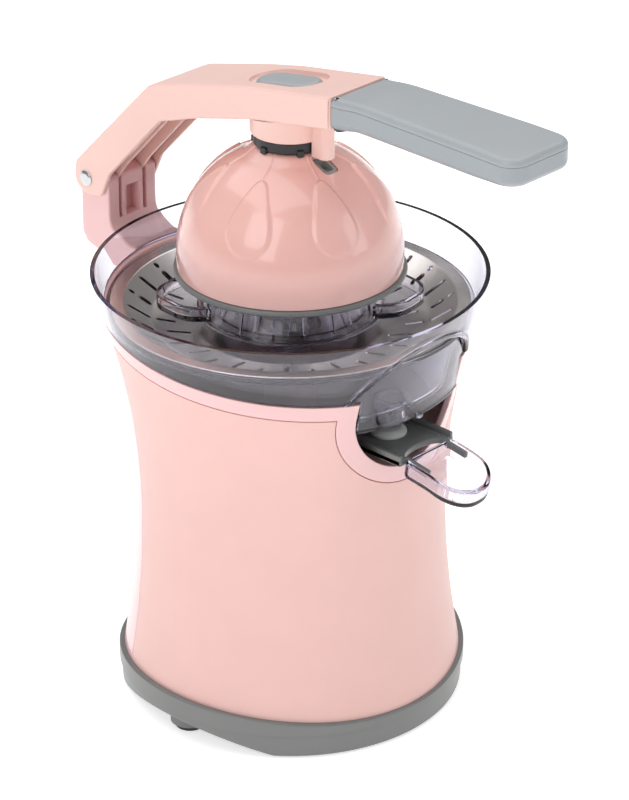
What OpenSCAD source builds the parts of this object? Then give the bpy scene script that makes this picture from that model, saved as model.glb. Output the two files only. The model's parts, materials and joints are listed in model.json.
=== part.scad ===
// Electric citrus press with a hinged lever arm.
// Z is up, the origin is on the spindle axis at table level.
// The spout and the handle point to -Y (front), the arm's tower stands at +Y (rear).

/* [Body] */
// Outer radius of the body at its waist
waist_r = 75.5; // [72:0.5:84]
// Height of the waist
waist_z = 105; // [95:1:115]
// Radius of the outward curve above the waist
flare_r = 330; // [300:5:420]
// Radius of the outward curve below the waist
foot_curve_r = 470; // [420:5:600]
// Height where the upper curve turns into a straight cone
cone_z = 187.5; // [182:0.5:192]
// Wall of the housing
wall_t = 3.2; // [2.6:0.1:3.6]
// Thickness of the wrap panel let into the housing
wrap_t = 1.2; // [0.8:0.1:1.4]
// Half angle that the wrap panel covers, from the front
wrap_half_deg = 118; // [100:1:130]
// Height of the housing band above the wrap panel
top_band = 8; // [6:0.5:12]
// Tilt of the joint between bowl and housing, down to the front
joint_tilt = 6.5; // [3:0.5:8]
// Height of that joint on the spindle axis
joint_z = 197; // [194:0.5:200]

/* [Base] */
// Outer radius of the base at its lip
base_r = 85.8; // [84:0.2:92]
// Outer radius of the base at the table
base_foot_r = 84.4; // [82:0.2:90]
// Height of the base's upper edge at front and rear
base_h = 17; // [14:0.5:22]
// Rise of the upper edge at the two sides
base_rise = 6; // [2:0.5:8]
// Height of the arch under each side
arch_h = 10; // [4:0.5:12]
// Half length of that arch at the table
arch_half = 55; // [40:1:60]
// Wall of the base
base_t = 3; // [2.4:0.2:4]
// Height of the base's lower edge above the table
skirt_gap = 1.2; // [0.8:0.2:2]
// Height of the rubber feet
foot_h = 3; // [2.4:0.2:4]
// Radius of a rubber foot
foot_r = 8; // [6:0.5:10]

/* [Spout opening] */
// Half width of the opening in the housing
u_r = 35.2; // [30:0.2:36]
// Height of the opening's lowest point
u_z = 145; // [144:0.5:152]
// Width of the plain band around the opening
u_band = 8.5; // [6:0.5:10]
// Radius of the arch in the clear bowl
arch_r = 45; // [43:0.5:47]
// Height of that arch's centre
arch_z = 167; // [165:0.5:168]
// Height of the clear apron's lower lip
apron_z = 172; // [170:0.5:174]

/* [Bowl] */
// Outer radius at the rim
rim_r = 95; // [94:0.5:100]
// Height of the rim
rim_z = 221; // [219:0.5:224]
// Wall of the bowl
bowl_t = 2.2; // [1.8:0.1:2.6]
// Height of the ledge that the strainer rests on
ledge_z = 205; // [204:0.5:206]
// Outer radius of the inner bowl at the ledge
inner_top_r = 84.6; // [83.4:0.2:84.8]
// Outer radius of the inner bowl at its floor
inner_low_r = 78.4; // [76:0.2:78.6]
// Height of the bowl's floor, underside
floor_z = 174; // [173.5:0.5:176]
// Distance of the juice outlet from the axis
outlet_s = 64; // [60:1:68]
// Bore of the juice outlet
outlet_d = 12; // [9:0.5:13]
// Lower end of the outlet
outlet_z = 162.6; // [162.4:0.2:164]

/* [Strainer] */
// Outer radius of the steel rim
strainer_r = 86; // [85:0.5:87]
// Sheet thickness
strainer_t = 0.8; // [0.6:0.1:1.2]
// Radius of the opening round the reamer's hub
strainer_hole_r = 14.5; // [14:0.5:18]
// Number of outer slots
strainer_slots = 30; // [20:1:36]

/* [Reamer] */
// Outer radius of the reamer's ring
reamer_r = 44.5; // [42:0.5:46]
// Height of the reamer's underside
reamer_z = 200; // [199.5:0.5:201]
// Radius of the cone at its foot
cone_r = 36; // [32:0.5:38]
// Height of the cone's tip
cone_tip_z = 262; // [250:1:264]
// Outer reach of the sweeping wings
wing_r = 64; // [60:0.5:66]
// Direction of the wings
wing_dir = -44; // [-60:1:-30]
// Number of ribs on the cone
cone_ribs = 10; // [6:1:14]

/* [Press dome] */
// Outer radius of the dome
dome_r = 54; // [52:0.5:56]
// Height of the dome's centre
dome_z = 231.6; // [230:0.2:233]
// Wall of the dome
dome_t = 2.6; // [2:0.1:3.4]
// Lower edge of the grey rim ring
ring_z = 220.4; // [219.4:0.2:221]
// Outer radius of the rim ring
ring_r = 55.8; // [55:0.2:57]
// Height of the rim ring
ring_h = 3; // [2:0.5:4]

/* [Arm] */
// Distance of the hinge pin behind the axis
hinge_y = 120.5; // [118:0.5:126]
// Height of the hinge pin
hinge_z = 237.5; // [236:0.5:239]
// Diameter of the hinge pin
pin_d = 6; // [5:0.2:7]
// Radius of the arm's rounded hinge end
lug_r = 8.6; // [8.2:0.1:9]
// Overall width of the arm
arm_w = 37.6; // [36:0.2:42]
// Wall of the arm
arm_t = 2.3; // [2:0.1:3]
// Outer radius of the boss under the arm
boss_r = 18.8; // [18:0.2:20]
// Height of the boss's lower face
boss_z = 291.4; // [290.6:0.2:292]
// Where the handle starts, in front of the axis
grip_s = 43; // [40:1:46]
// Where the handle ends
grip_end = 155; // [130:1:175]
// Width of the handle at its end
grip_w = 43; // [36:0.5:48]
// Travel of the release button
button_travel = 3; // [2:0.5:3.5]

/* [Drive] */
// Diameter of the spindle
spindle_d = 8; // [7:0.5:9]
// Module of the gear teeth
gear_m = 0.8; // [0.7:0.05:0.9]
// Teeth of the motor pinion
pinion_n = 12; // [11:1:14]
// Teeth of the large intermediate gear
idler_n = 48; // [44:1:52]
// Teeth of the small intermediate gear
idler_pinion_n = 14; // [13:1:16]
// Teeth of the output gear
output_n = 60; // [54:1:64]
// Travel of the spindle when the fruit is pressed
press_travel = 2.5; // [2:0.5:3]
// Width of the motor's lamination stack
stator_w = 54; // [46:1:56]
// Height of the lamination stack
stator_h = 34; // [28:1:38]

/* [Drip lever] */
// Width of the lever plate
lever_w = 37; // [32:0.5:38]
// Height of the lever plate's upper face
lever_z = 156; // [155:0.5:157]
// Distance of the lever's pin from the axis
lever_pin_s = 46; // [44:1:48]
// Distance of the plate's front edge from the axis
lever_front_s = 88; // [85:1:90]
// Distance of the clear tongue's tip from the axis
tongue_s = 125; // [118:1:128]
// Slope of the tongue below the plate
tongue_drop = 9; // [0:1:12]

/* [Fits] */
// Clearance of a pin that turns or slides
run_gap = 0.05; // [0.03:0.01:0.09]
// Gap between covers that meet
seam = 0.3; // [0.2:0.05:0.4]
// Gap beside a moving piece
side_gap = 0.5; // [0.4:0.1:0.8]

/* [Hidden] */

$fn = 96;
big = 600;                       // larger than the whole press
eps = 0.01;
slope = (rim_r - arc_r(cone_z)) / (rim_z - cone_z);

// Outer radius of the housing and of the bowl's outer wall at height z
function arc_r(z) = z > waist_z
    ? waist_r + flare_r - sqrt(flare_r * flare_r - (z - waist_z) * (z - waist_z))
    : waist_r + foot_curve_r - sqrt(foot_curve_r * foot_curve_r - (waist_z - z) * (waist_z - z));
function skin_r(z) = z < cone_z ? arc_r(z) : arc_r(cone_z) + (z - cone_z) * slope;

// Heights of the joint plane at the front and at the rear
joint_front_z = joint_z - skin_r(cone_z) * tan(joint_tilt);
joint_rear_z = joint_z + rim_r * tan(joint_tilt);
heel_in = wall_t + seam;         // the bowl's heel, in from the skin
heel_t = 0.9;

// Drive layout
gear_z1 = 114;                   // underside of the first gear pair
gear_h1 = 6;
gear_z2 = gear_z1 + gear_h1 + 2; // underside of the second gear pair
gear_h2 = 9;
idler_x = gear_m * (idler_pinion_n + output_n) / 2;
motor_dir = 140;                 // direction from the intermediate gear to the motor
motor_x = idler_x + gear_m * (idler_n + pinion_n) / 2 * cos(motor_dir);
motor_y = gear_m * (idler_n + pinion_n) / 2 * sin(motor_dir);
case_t = 2.4;
case_z = gear_z1 - 1 - case_t;   // underside of the gearbox
case_top = gear_z2 + gear_h2 + 2.5;
cover_t = 3;
deck_t = 2.6;
deck_z = u_z - 1.2 - deck_t;
spindle_low_z = gear_z1 + 7.5;
spindle_top_z = reamer_z + 6;
reamer_hub_z = reamer_z - 4;       // underside of the reamer's hub
stator_z = gear_z1 - 64;
plunger_d = 4;
idler_pin_d = 4;
post_r = 20;                     // screw posts under the deck, from the axis
shaft_d = 5;
switch_top_z = case_z - 2 - press_travel - 0.2;
rotor_r = 14;
bracket_t = 4;
coil_h = 8;
top_bracket_z = stator_z + stator_h + coil_h + 2;
bottom_bracket_z = stator_z - coil_h - 2 - bracket_t;
cap_x = stator_w / 2 - 6;        // motor screws from the motor's axis

// Base
rise_r = base_r * base_r / (2 * base_rise);
arch_cut_r = (arch_half * arch_half + arch_h * arch_h) / (2 * arch_h);
web_z = arch_h + 1.5;             // underside of the web inside the base
web_t = 3;
plate_z = web_z + web_t;
plate_t = 2.4;
plate_r = skin_r(base_h) - wall_t - seam;
foot_angles = [0, 90, 180, 270];
foot_place_r = base_foot_r - base_t - foot_r - 2;
screw_angles = [45, 135, 225, 315];
screw_place_r = plate_r - 5;
housing_drop = 2;                // how far the housing reaches into the base

// Arm, drawn from the side as [distance in front of the axis, height]
hinge_s = -hinge_y;
arm_under = [[-44, 290], [-8.6, 299.6], [grip_s, 308.8]];
arm_outline = [[hinge_s - 7, hinge_z + 8], [-77.5, 296.2], [-74.5, 298.8], [-70.5, 300.4], [-31, 311],
    [-8.5, 316], [grip_s, 324.6], arm_under[2], arm_under[1], arm_under[0], [-66, 283], [-71, 280.2],
    [-104, 244], [hinge_s + 8, hinge_z - 5]];
button_pocket_z = boss_z + 13;
peg_z = 283.8;                   // lower end of the peg that stops the dome turning
collar_z = 285.6;                // underside of the collar
stem_z = 279;                    // lower end of the dome's stem
stem_r = 9;
dowel_z = 316.6;                 // dowels that set the handle
dowel_x = 8;
dowel_d = 3;
open_end_s = -30;                // the arm is an open channel behind this
pivot_w = arm_w - 2 * arm_t - 2 * seam;
rib_x = pivot_w / 4;
rib_t = 2;
slot_w = rib_t + 2 * seam;
grip_h = 14.6;
grip_top_z = 326.2;
handle_screw_s = [grip_s + 26, grip_end - 28];   // the handle's two screws, in front of the axis
handle_screw_z = 312.4;
handle_boss_z = handle_screw_z + 1.3;
// The line where pad and shell meet, seen from the side
pad_line = [[grip_s, grip_top_z - 4.4], [grip_s + 18, grip_top_z - 3.4], [grip_end - 12, grip_top_z - 4.2],
    [grip_end + 4, grip_top_z - 6.4]];
button_top_z = 317.4;

// Lever
u_centre_z = u_z + u_r;
lever_t = 3;
lever_pin_d = 4;

module ring(ro, ri, h) {
    difference() {
        cylinder(r = ro, h = h);
        translate([0, 0, -1]) cylinder(r = ri, h = h + 2);
    }
}

module tube_x(r, w) { rotate([0, 90, 0]) cylinder(r = r, h = w, center = true); }
module from_front(s, z) { translate([0, -s, z]) rotate([90, 0, 0]) children(); }

// Side view extruded across the press: first coordinate runs to the front, second one up
module side_slab(w, x0 = 0) {
    translate([x0 + w / 2, 0, 0]) rotate([0, 0, -90]) rotate([90, 0, 0]) linear_extrude(w) children();
}

// Solid of revolution between two heights that follows the outer skin, drawn in by d
module skin_solid(z0, z1, d, steps = 18) {
    rotate_extrude($fn = 180) polygon(concat([[0, z0]],
        [for (i = [0 : steps]) let (z = z0 + (z1 - z0) * i / steps) [skin_r(z) - d, z]], [[0, z1]]));
}

// Everything below the tilted joint plane, lowered by d
module below_joint(d = 0) {
    translate([0, 0, joint_z]) rotate([joint_tilt, 0, 0]) translate([-big / 2, -big / 2, -d - big])
        cube([big, big, big]);
}

// Everything above the curved upper edge of the base, raised by d
module above_base(d = 0) {
    translate([0, 0, base_h + d + rise_r]) rotate([90, 0, 0])
        cylinder(r = rise_r, h = big, center = true, $fn = 360);
}

// The U-shaped opening grown by d, as a solid that runs out at the front
module u_solid(d = 0) {
    from_front(20, u_centre_z) cylinder(r = u_r + d, h = 90);
    translate([-u_r - d, -110, u_centre_z]) cube([2 * (u_r + d), 90, 60]);
}

// A pie slice of the given half angle round the front
module front_wedge(half) {
    linear_extrude(height = big) polygon(concat([[0, 0]],
        [for (i = [-6 : 6]) 200 * [sin(half * i / 6), -cos(half * i / 6)]]));
}

module gear(n, h, bore, first = 0) {
    pitch_r = gear_m * n / 2;
    root_r = pitch_r - 1.25 * gear_m;
    half_root = 360 / n * 0.30;
    half_tip = 360 / n * 0.12;
    difference() {
        linear_extrude(h) polygon([for (i = [0 : n - 1]) for (k = [0 : 3])
            let (a = first + i * 360 / n + [-half_root, -half_tip, half_tip, half_root][k],
                r = (k == 0 || k == 3) ? root_r : pitch_r + 0.9 * gear_m) r * [cos(a), sin(a)]]);
        translate([0, 0, -1]) cylinder(d = bore, h = h + 2);
    }
}

module screw(d, l, head_d, head_h) {
    difference() {
        union() {
            cylinder(d = d, h = l);
            translate([0, 0, -head_h]) cylinder(d = head_d, h = head_h);
        }
        translate([0, 0, -head_h - 1]) cylinder(d = head_d / 2, h = 1 + head_h / 2, $fn = 6);
    }
}

// Housing --------------------------------------------------------------------------------

module housing_solid() {
    difference() {
        skin_solid(base_h - 4, rim_z - 8, 0);
        skin_solid(base_h - 5, rim_z - 7, wall_t);
    }
}

module wrap_zone(d = 0) {
    difference() {
        intersection() {
            front_wedge(wrap_half_deg - d / 2);
            below_joint(top_band + d);
        }
        u_solid(u_band + d);
    }
}

module housing_shell() {
    color([0.96, 0.72, 0.7]) {
        difference() {
            intersection() {
                housing_solid();
                below_joint();
                above_base(-housing_drop);
            }
            u_solid();
            difference() {
                wrap_zone();
                skin_solid(0, rim_z, wrap_t, 24);
            }
            tower_foot(seam);
            translate([0, 0, 22 + base_h / 2]) rotate([-90, 0, 0]) cylinder(r = 7, h = 200);
        }
        // Ledge inside that carries the deck
        intersection() {
            difference() {
                skin_solid(deck_z - 6, deck_z, 0);
                translate([0, 0, deck_z - 7]) cylinder(r1 = skin_r(deck_z) - wall_t + 1,
                    r2 = skin_r(deck_z) - wall_t - 6, h = 8);
            }
            skin_solid(deck_z - 6, deck_z, wall_t - 0.4, 6);
        }
    }
}

module front_wrap_panel() {
    color([0.97, 0.72, 0.67]) intersection() {
        difference() {
            skin_solid(base_h - 4, rim_z - 12, 0, 24);
            skin_solid(base_h - 5, rim_z - 11, wrap_t - 0.05, 24);
        }
        wrap_zone(seam);
        above_base(seam - housing_drop);
    }
}

// Side view of the tower that carries the arm
module tower_outline() {
    polygon([[-70, 150], [-86, 172], [-hinge_y + 4, 199.5], [-hinge_y - 3.5, 201.5], [-hinge_y - 7, 207],
        [-hinge_y - 7, hinge_z + 2], [-hinge_y - 4, hinge_z + 6.6], [-hinge_y, hinge_z + 7.6],
        [-hinge_y + 6, hinge_z + 5], [-hinge_y + 13, hinge_z + 2], [-hinge_y + 13, 218],
        [-hinge_y + 16, 212], [-hinge_y + 22, 208.4], [-80, 208.2], [-70, 200]]);
}

module tower_foot(d = 0) {
    intersection() {
        side_slab(pivot_w + 2 * d) tower_outline();
        translate([-50, 0, 0]) cube([100, 200, 260]);
    }
}

module hinge_tower() {
    color([0.96, 0.72, 0.7]) difference() {
        intersection() {
            tower_foot();
            union() {
                translate([-50, 88, 0]) cube([100, 100, 260]);
                below_joint();
            }
        }
        // Inside of the housing
        skin_solid(100, 212, wall_t, 20);
        // Room for the bowl's skirt
        difference() {
            skin_solid(190, rim_z, -1);
            below_joint();
        }
        // Bore of the pin
        translate([0, hinge_y, hinge_z]) tube_x(pin_d / 2 + eps, 60);
        // Slots for the arm's inner ribs and the pocket between them
        for (x = [-rib_x, rib_x]) translate([x - slot_w / 2, hinge_y - 30, hinge_z - 20])
            cube([slot_w, 60, 40]);
        translate([-rib_x + 3.4, hinge_y - 14, 216]) cube([2 * rib_x - 6.8, 8, 17]);
    }
}

module chassis_deck() {
    color([0.2, 0.2, 0.21]) {
        difference() {
            union() {
                intersection() {
                    translate([0, 0, deck_z]) cylinder(r = 200, h = deck_t);
                    skin_solid(deck_z - 1, deck_z + deck_t + 1, wall_t + seam, 4);
                }
                translate([0, 0, deck_z + deck_t - eps]) cylinder(r = 13, h = 20);
                // Ears of the lever's pin
                for (side = [-1, 1]) translate([side * (lever_w / 2 + side_gap + 2) - 2, -lever_pin_s - 5,
                    deck_z + deck_t - eps]) cube([4, 10, lever_z - deck_z - deck_t]);
            }
            translate([0, 0, deck_z - 1]) cylinder(r = 9, h = 40);
            translate([0, -lever_pin_s, lever_z - lever_t]) tube_x(lever_pin_d / 2 + eps, 80);
            for (a = [45 : 90 : 315]) rotate(a) translate([post_r, 0, deck_z - 1]) cylinder(d = 3.2, h = 10);
        }
    }
}

// Base -----------------------------------------------------------------------------------

module base_blank() {
    rotate_extrude($fn = 180) polygon([[0, skirt_gap], [base_foot_r, skirt_gap],
        [base_r - 0.9, base_h - 5.4], [base_r - 0.9, base_h - 4.4], [base_r, base_h - 4], [base_r, base_h + 10],
        [0, base_h + 10]]);
}

module base_ring() {
    color([0.56, 0.56, 0.56]) difference() {
        base_blank();
        above_base();
        difference() {
            translate([0, 0, -1]) cylinder(r = base_foot_r - base_t, h = 60);
            // Web that the bottom plate is screwed to
            translate([0, 0, web_z]) ring(base_foot_r, plate_r - 11, web_t);
        }
        // Seat of the housing's lower edge
        intersection() {
            skin_solid(base_h - 5, base_h + 12, -seam, 6);
            above_base(-housing_drop - seam);
        }
        for (a = screw_angles) rotate(a) translate([screw_place_r, 0, 0]) cylinder(d = 3.6, h = 60);
        // Room for the side feet
        for (a = foot_angles) rotate(a) translate([foot_place_r, 0, 0]) cylinder(r = foot_r + 2.4, h = 60);
        // Arch under each side, right through from left to right
        translate([0, 0, arch_h - arch_cut_r]) rotate([0, 90, 0])
            cylinder(r = arch_cut_r, h = big, center = true, $fn = 360);
    }
}

module bottom_plate() {
    color([0.45, 0.45, 0.46]) difference() {
        union() {
            translate([0, 0, plate_z]) cylinder(r = plate_r, h = plate_t);
            for (a = foot_angles) rotate(a) translate([foot_place_r, 0, foot_h])
                cylinder(r = foot_r + 1.6, h = plate_z - foot_h + eps);
        }
        for (i = [-4 : 4]) translate([i * 6 - 1.5, -20, plate_z - 1]) cube([3, 40, plate_t + 2]);
        for (a = foot_angles) rotate(a) translate([foot_place_r, 0, foot_h - 1])
            cylinder(r = 3, h = 60);
        for (a = screw_angles) rotate(a) translate([screw_place_r, 0, 0]) cylinder(d = 3.6, h = 60);
    }
}
module rubber_feet() {
    color([0.13, 0.13, 0.13]) for (a = foot_angles) rotate(a) translate([foot_place_r, 0, 0]) {
        cylinder(r1 = foot_r - 0.8, r2 = foot_r, h = foot_h);
        translate([0, 0, foot_h - eps]) cylinder(r = 3 - eps, h = plate_z + plate_t - foot_h);
    }
}

module base_screws() {
    color([0.75, 0.75, 0.76]) for (a = screw_angles) rotate(a)
        translate([screw_place_r, 0, web_z]) screw(3.2, web_t + plate_t + 2, 6.4, 2);
}

module cord_gland() {
    gland_z = 22 + base_h / 2;
    color([0.13, 0.13, 0.13]) translate([0, skin_r(gland_z) - wall_t, gland_z]) rotate([-90, 0, 0])
        difference() {
            union() {
                translate([0, 0, -2]) cylinder(r = 6.9, h = wall_t + 2);
                translate([0, 0, -4]) cylinder(r = 9, h = 2.6);
                translate([0, 0, wall_t]) cylinder(r1 = 6.9, r2 = 5.4, h = 8);
            }
            translate([0, 0, -10]) cylinder(d = 6.4, h = 40);
        }
}

module terminal_block() {
    color([0.85, 0.84, 0.8]) translate([-40, 34, plate_z + plate_t]) difference() {
        cube([24, 12, 14]);
        for (i = [0 : 2]) translate([4.5 + 7.5 * i, 6, 6]) cylinder(d = 4, h = 10);
    }
}

// Drive ----------------------------------------------------------------------------------

module at_motor(z) { translate([motor_x, motor_y, z]) children(); }

module motor_stator() {
    color([0.5, 0.5, 0.52]) at_motor(stator_z) difference() {
        translate([-stator_w / 2, -stator_w / 2, 0]) cube([stator_w, stator_w, stator_h]);
        translate([0, 0, -1]) cylinder(r = rotor_r + 0.6, h = stator_h + 2);
        for (side = [-1, 1]) translate([side * (rotor_r + 5) - 3.5, -12, -1]) cube([7, 24, stator_h + 2]);
        for (x = [-cap_x, cap_x]) for (y = [-cap_x, cap_x]) translate([x, y, -1])
            cylinder(d = 4, h = stator_h + 2);
    }
}

module motor_coils() {
    color([0.72, 0.42, 0.2]) at_motor(stator_z) for (side = [-1, 1]) difference() {
        translate([side * (rotor_r + 5) - 3.2, -11.6, -coil_h])
            cube([6.4, 23.2, stator_h + 2 * coil_h]);
        translate([side * (rotor_r + 5) - 1, -6, -coil_h - 1]) cube([2, 12, stator_h + 2 * coil_h + 2]);
    }
}

module bracket_plate() {
    difference() {
        union() {
            translate([-stator_w / 2, -10, 0]) cube([stator_w, 20, bracket_t]);
            for (x = [-cap_x, cap_x]) translate([x - 5, -stator_w / 2, 0]) cube([10, stator_w, bracket_t]);
        }
        translate([0, 0, -1]) cylinder(r = 6, h = bracket_t + 2);
        for (x = [-cap_x, cap_x]) for (y = [-cap_x, cap_x]) translate([x, y, -1]) cylinder(d = 4, h = 20);
    }
}

module motor_posts(z, h) {
    for (x = [-cap_x, cap_x]) for (y = [-cap_x, cap_x]) translate([x, y, z]) ring(4, 2, h);
}

module motor_top_bracket() {
    color([0.78, 0.78, 0.79]) at_motor(top_bracket_z) {
        bracket_plate();
        motor_posts(-coil_h - 2, coil_h + 2 + eps);
    }
}

module motor_bottom_bracket() {
    color([0.78, 0.78, 0.79]) at_motor(bottom_bracket_z) {
        bracket_plate();
        motor_posts(bracket_t - eps, coil_h + 2 + eps);
    }
}

module motor_bushes() {
    color([0.72, 0.55, 0.3]) for (z = [top_bracket_z, bottom_bracket_z]) at_motor(z)
        ring(6 - eps, shaft_d / 2 + run_gap, bracket_t);
}

// Screws that hold the motor's brackets, the stator and the gearbox together
module motor_screws() {
    color([0.75, 0.75, 0.76]) for (x = [-cap_x, cap_x]) for (y = [-cap_x, cap_x]) at_motor(bottom_bracket_z)
        translate([x, y, 0]) screw(3.8, case_z - bottom_bracket_z + case_t - 1, 7, 2.6);
}

module rotor_core() {
    color([0.55, 0.55, 0.57]) at_motor(stator_z + 1) ring(rotor_r, shaft_d / 2, stator_h - 2);
}

module motor_shaft() {
    color([0.8, 0.8, 0.81]) at_motor(bottom_bracket_z - 12)
        cylinder(d = shaft_d, h = gear_z1 + gear_h1 - bottom_bracket_z + 12);
}

module motor_pinion() {
    color([0.8, 0.72, 0.45]) at_motor(gear_z1) rotate(motor_dir + 180) gear(pinion_n, gear_h1, shaft_d);
}

module cooling_fan() {
    color([0.15, 0.15, 0.16]) at_motor(bottom_bracket_z - 11) {
        ring(7, shaft_d / 2, 8);
        difference() {
            for (a = [0 : 45 : 315]) rotate(a) translate([6.5, -0.8, 0]) rotate([30, 0, 0])
                cube([14, 1.6, 7]);
            translate([0, 0, -3]) cylinder(r = 3, h = 30);
        }
    }
}

module case_plan(d = 0) {
    hull() {
        circle(r = gear_m * (output_n / 2 + 1) + 2 + d);
        translate([idler_x, 0]) circle(r = gear_m * (idler_n / 2 + 1) + 2 + d);
        translate([motor_x, motor_y]) circle(r = gear_m * (pinion_n / 2 + 1) + 2 + d);
    }
}

module gearbox_case() {
    color([0.88, 0.88, 0.86]) difference() {
        union() {
            translate([0, 0, case_z]) linear_extrude(case_top - case_z) case_plan(case_t);
            at_motor(case_z) translate([-stator_w / 2, -stator_w / 2, 0])
                cube([stator_w, stator_w, case_t]);
        }
        translate([0, 0, case_z + case_t]) linear_extrude(60) case_plan();
        translate([0, 0, case_z - 1]) cylinder(d = plunger_d + 2 * run_gap, h = 10);
        at_motor(case_z - 1) cylinder(d = shaft_d + 2, h = 10);
        for (x = [-cap_x, cap_x]) for (y = [-cap_x, cap_x]) at_motor(case_z - 1)
            translate([x, y, 0]) cylinder(d = 3.8 + 2 * eps, h = case_t + 1 - eps);
        translate([idler_x, 0, case_z - 1]) cylinder(d = idler_pin_d, h = 10);
    }
    // Pegs that the micro switch hangs on
    color([0.88, 0.88, 0.86]) for (x = [-7, 7]) translate([x, 0, switch_top_z])
        cylinder(r = 1.6, h = case_z - switch_top_z);
}

module gearbox_cover() {
    color([0.88, 0.88, 0.86]) difference() {
        union() {
            translate([0, 0, case_top]) linear_extrude(cover_t) case_plan(case_t);
            for (a = [45 : 90 : 315]) rotate(a) translate([post_r, 0, case_top + cover_t - eps])
                cylinder(r = 4, h = deck_z - case_top - cover_t + eps);
        }
        translate([0, 0, case_top - 1]) cylinder(r = 7, h = 10);
        translate([idler_x, 0, case_top - 1]) cylinder(d = idler_pin_d, h = 10);
        for (a = [45 : 90 : 315]) rotate(a) translate([post_r, 0, deck_z - 8]) cylinder(d = 3, h = 10);
    }
}

module gearbox_screws() {
    color([0.75, 0.75, 0.76]) for (a = [45 : 90 : 315]) rotate(a)
        translate([post_r, 0, deck_z + deck_t]) rotate([180, 0, 0]) screw(3 - 2 * eps, deck_t + 7, 5.6, 2);
}

module idler_pin() {
    color([0.8, 0.8, 0.81]) translate([idler_x, 0, case_z])
        cylinder(d = idler_pin_d, h = case_top + cover_t - case_z);
}

module idler_gear() {
    color([0.93, 0.92, 0.88]) translate([idler_x, 0, 0]) {
        translate([0, 0, gear_z1]) gear(idler_n, gear_h1, idler_pin_d + 2 * run_gap,
            motor_dir + 180 / idler_n);
        translate([0, 0, gear_z1 + gear_h1 - eps]) gear(idler_pinion_n, gear_z2 + gear_h2 - gear_z1 - gear_h1,
            idler_pin_d + 2 * run_gap, 180);
    }
}

module output_gear() {
    color([0.93, 0.92, 0.88]) {
        translate([0, 0, gear_z2]) gear(output_n, gear_h2, spindle_d + 2 * run_gap, 180 / output_n);
    }
}

module spindle_bush() {
    color([0.72, 0.55, 0.3]) translate([0, 0, case_top - 0.5])
        ring(7 - eps, spindle_d / 2 + run_gap, cover_t + 0.5);
}

module spindle_seal() {
    color([0.12, 0.12, 0.12]) translate([0, 0, deck_z + deck_t + 8]) ring(9 - eps, spindle_d / 2 + 0.3, 5);
}

module drive_shaft() {
    color([0.8, 0.8, 0.81]) {
        translate([0, 0, spindle_low_z]) cylinder(d = spindle_d, h = spindle_top_z - spindle_low_z);
        translate([0, 0, spindle_top_z - 8]) cylinder(r = 5.4, h = 6, $fn = 6);
    }
}

module switch_plunger() {
    color([0.9, 0.9, 0.88]) {
        translate([0, 0, case_z - 2]) cylinder(d = plunger_d, h = spindle_low_z - 0.1 - case_z + 2);
        translate([0, 0, spindle_low_z - 1.6]) cylinder(r = 4.8, h = 1.5);
    }
}

module plunger_spring() {
    color([0.8, 0.8, 0.81]) translate([0, 0, case_z + case_t])
        ring(4.4, 3.4, spindle_low_z - 1.7 - case_z - case_t);
}

module micro_switch() {
    color([0.14, 0.14, 0.15]) translate([-10, -3.2, switch_top_z - 6]) cube([20, 6.4, 6]);
}

// Bowl and strainer ----------------------------------------------------------------------

module arch_zone(r) { from_front(50, arch_z) cylinder(r = r, h = 60, $fn = 180); }

module bowl_heel() {
    heel_z = joint_rear_z + seam + 1;
    difference() {
        intersection() {
            difference() {
                skin_solid(ledge_z - bowl_t, heel_z, 0, 6);
                skin_solid(ledge_z - bowl_t - 1, heel_z + 1, heel_in + heel_t, 6);
            }
            union() {
                skin_solid(ledge_z - bowl_t - 2, heel_z + 2, heel_in, 6);
                skin_solid(joint_rear_z + seam, heel_z + 2, 0, 6);
            }
        }
        arch_zone(arch_r);
    }
}

module collector_bowl() {
    hub_ro = 11;
    hub_ri = 8.4;
    hub_h = reamer_hub_z - press_travel - 1.5 - floor_z;
    color([0.85, 0.87, 0.9, 0.4]) {
        difference() {
            union() {
                // Outer wall that continues the housing's line
                difference() {
                    skin_solid(joint_front_z - 5, rim_z, 0, 20);
                    skin_solid(joint_front_z - 6, rim_z + 1, bowl_t, 20);
                    below_joint(-seam);
                    arch_zone(arch_r);
                }
                // Bead round the arch
                intersection() {
                    difference() {
                        skin_solid(joint_front_z - 5, rim_z, -0.8, 20);
                        skin_solid(joint_front_z - 6, rim_z + 1, bowl_t, 20);
                        below_joint(-seam);
                    }
                    difference() {
                        arch_zone(arch_r + 2);
                        arch_zone(arch_r - 1);
                    }
                }
                // Ledge, and the heel that stands inside the housing's upper edge
                bowl_heel();
                translate([0, 0, ledge_z - bowl_t]) ring(skin_r(ledge_z - bowl_t) - heel_in - 0.4,
                    inner_top_r - bowl_t - 0.5, bowl_t);
                // Inner wall and floor
                rotate_extrude($fn = 180) polygon([[hub_ri, floor_z], [inner_low_r, floor_z],
                    [inner_top_r, ledge_z], [inner_top_r - bowl_t, ledge_z],
                    [inner_low_r - bowl_t - 0.4, floor_z + bowl_t], [hub_ri, floor_z + bowl_t]]);
                translate([0, 0, floor_z]) ring(hub_ro, hub_ri, hub_h);
                // Juice outlet
                translate([0, -outlet_s, outlet_z]) cylinder(d = outlet_d + 3.6, h = floor_z - outlet_z + 1);
                // Apron in front
                intersection() {
                    rotate_extrude($fn = 180) polygon([[inner_low_r - 1, apron_z], [83, apron_z],
                        [skin_r(ledge_z) - 3, ledge_z], [inner_top_r - 1, ledge_z],
                        [inner_low_r - 1, floor_z + 3]]);
                    union() {
                        u_solid(-side_gap);
                        difference() {
                            arch_zone(arch_r - 0.5);
                            below_joint(-seam);
                        }
                    }
                }
            }
            translate([0, -outlet_s, outlet_z - 1]) cylinder(d = outlet_d, h = 30);
        }
    }
}

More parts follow.
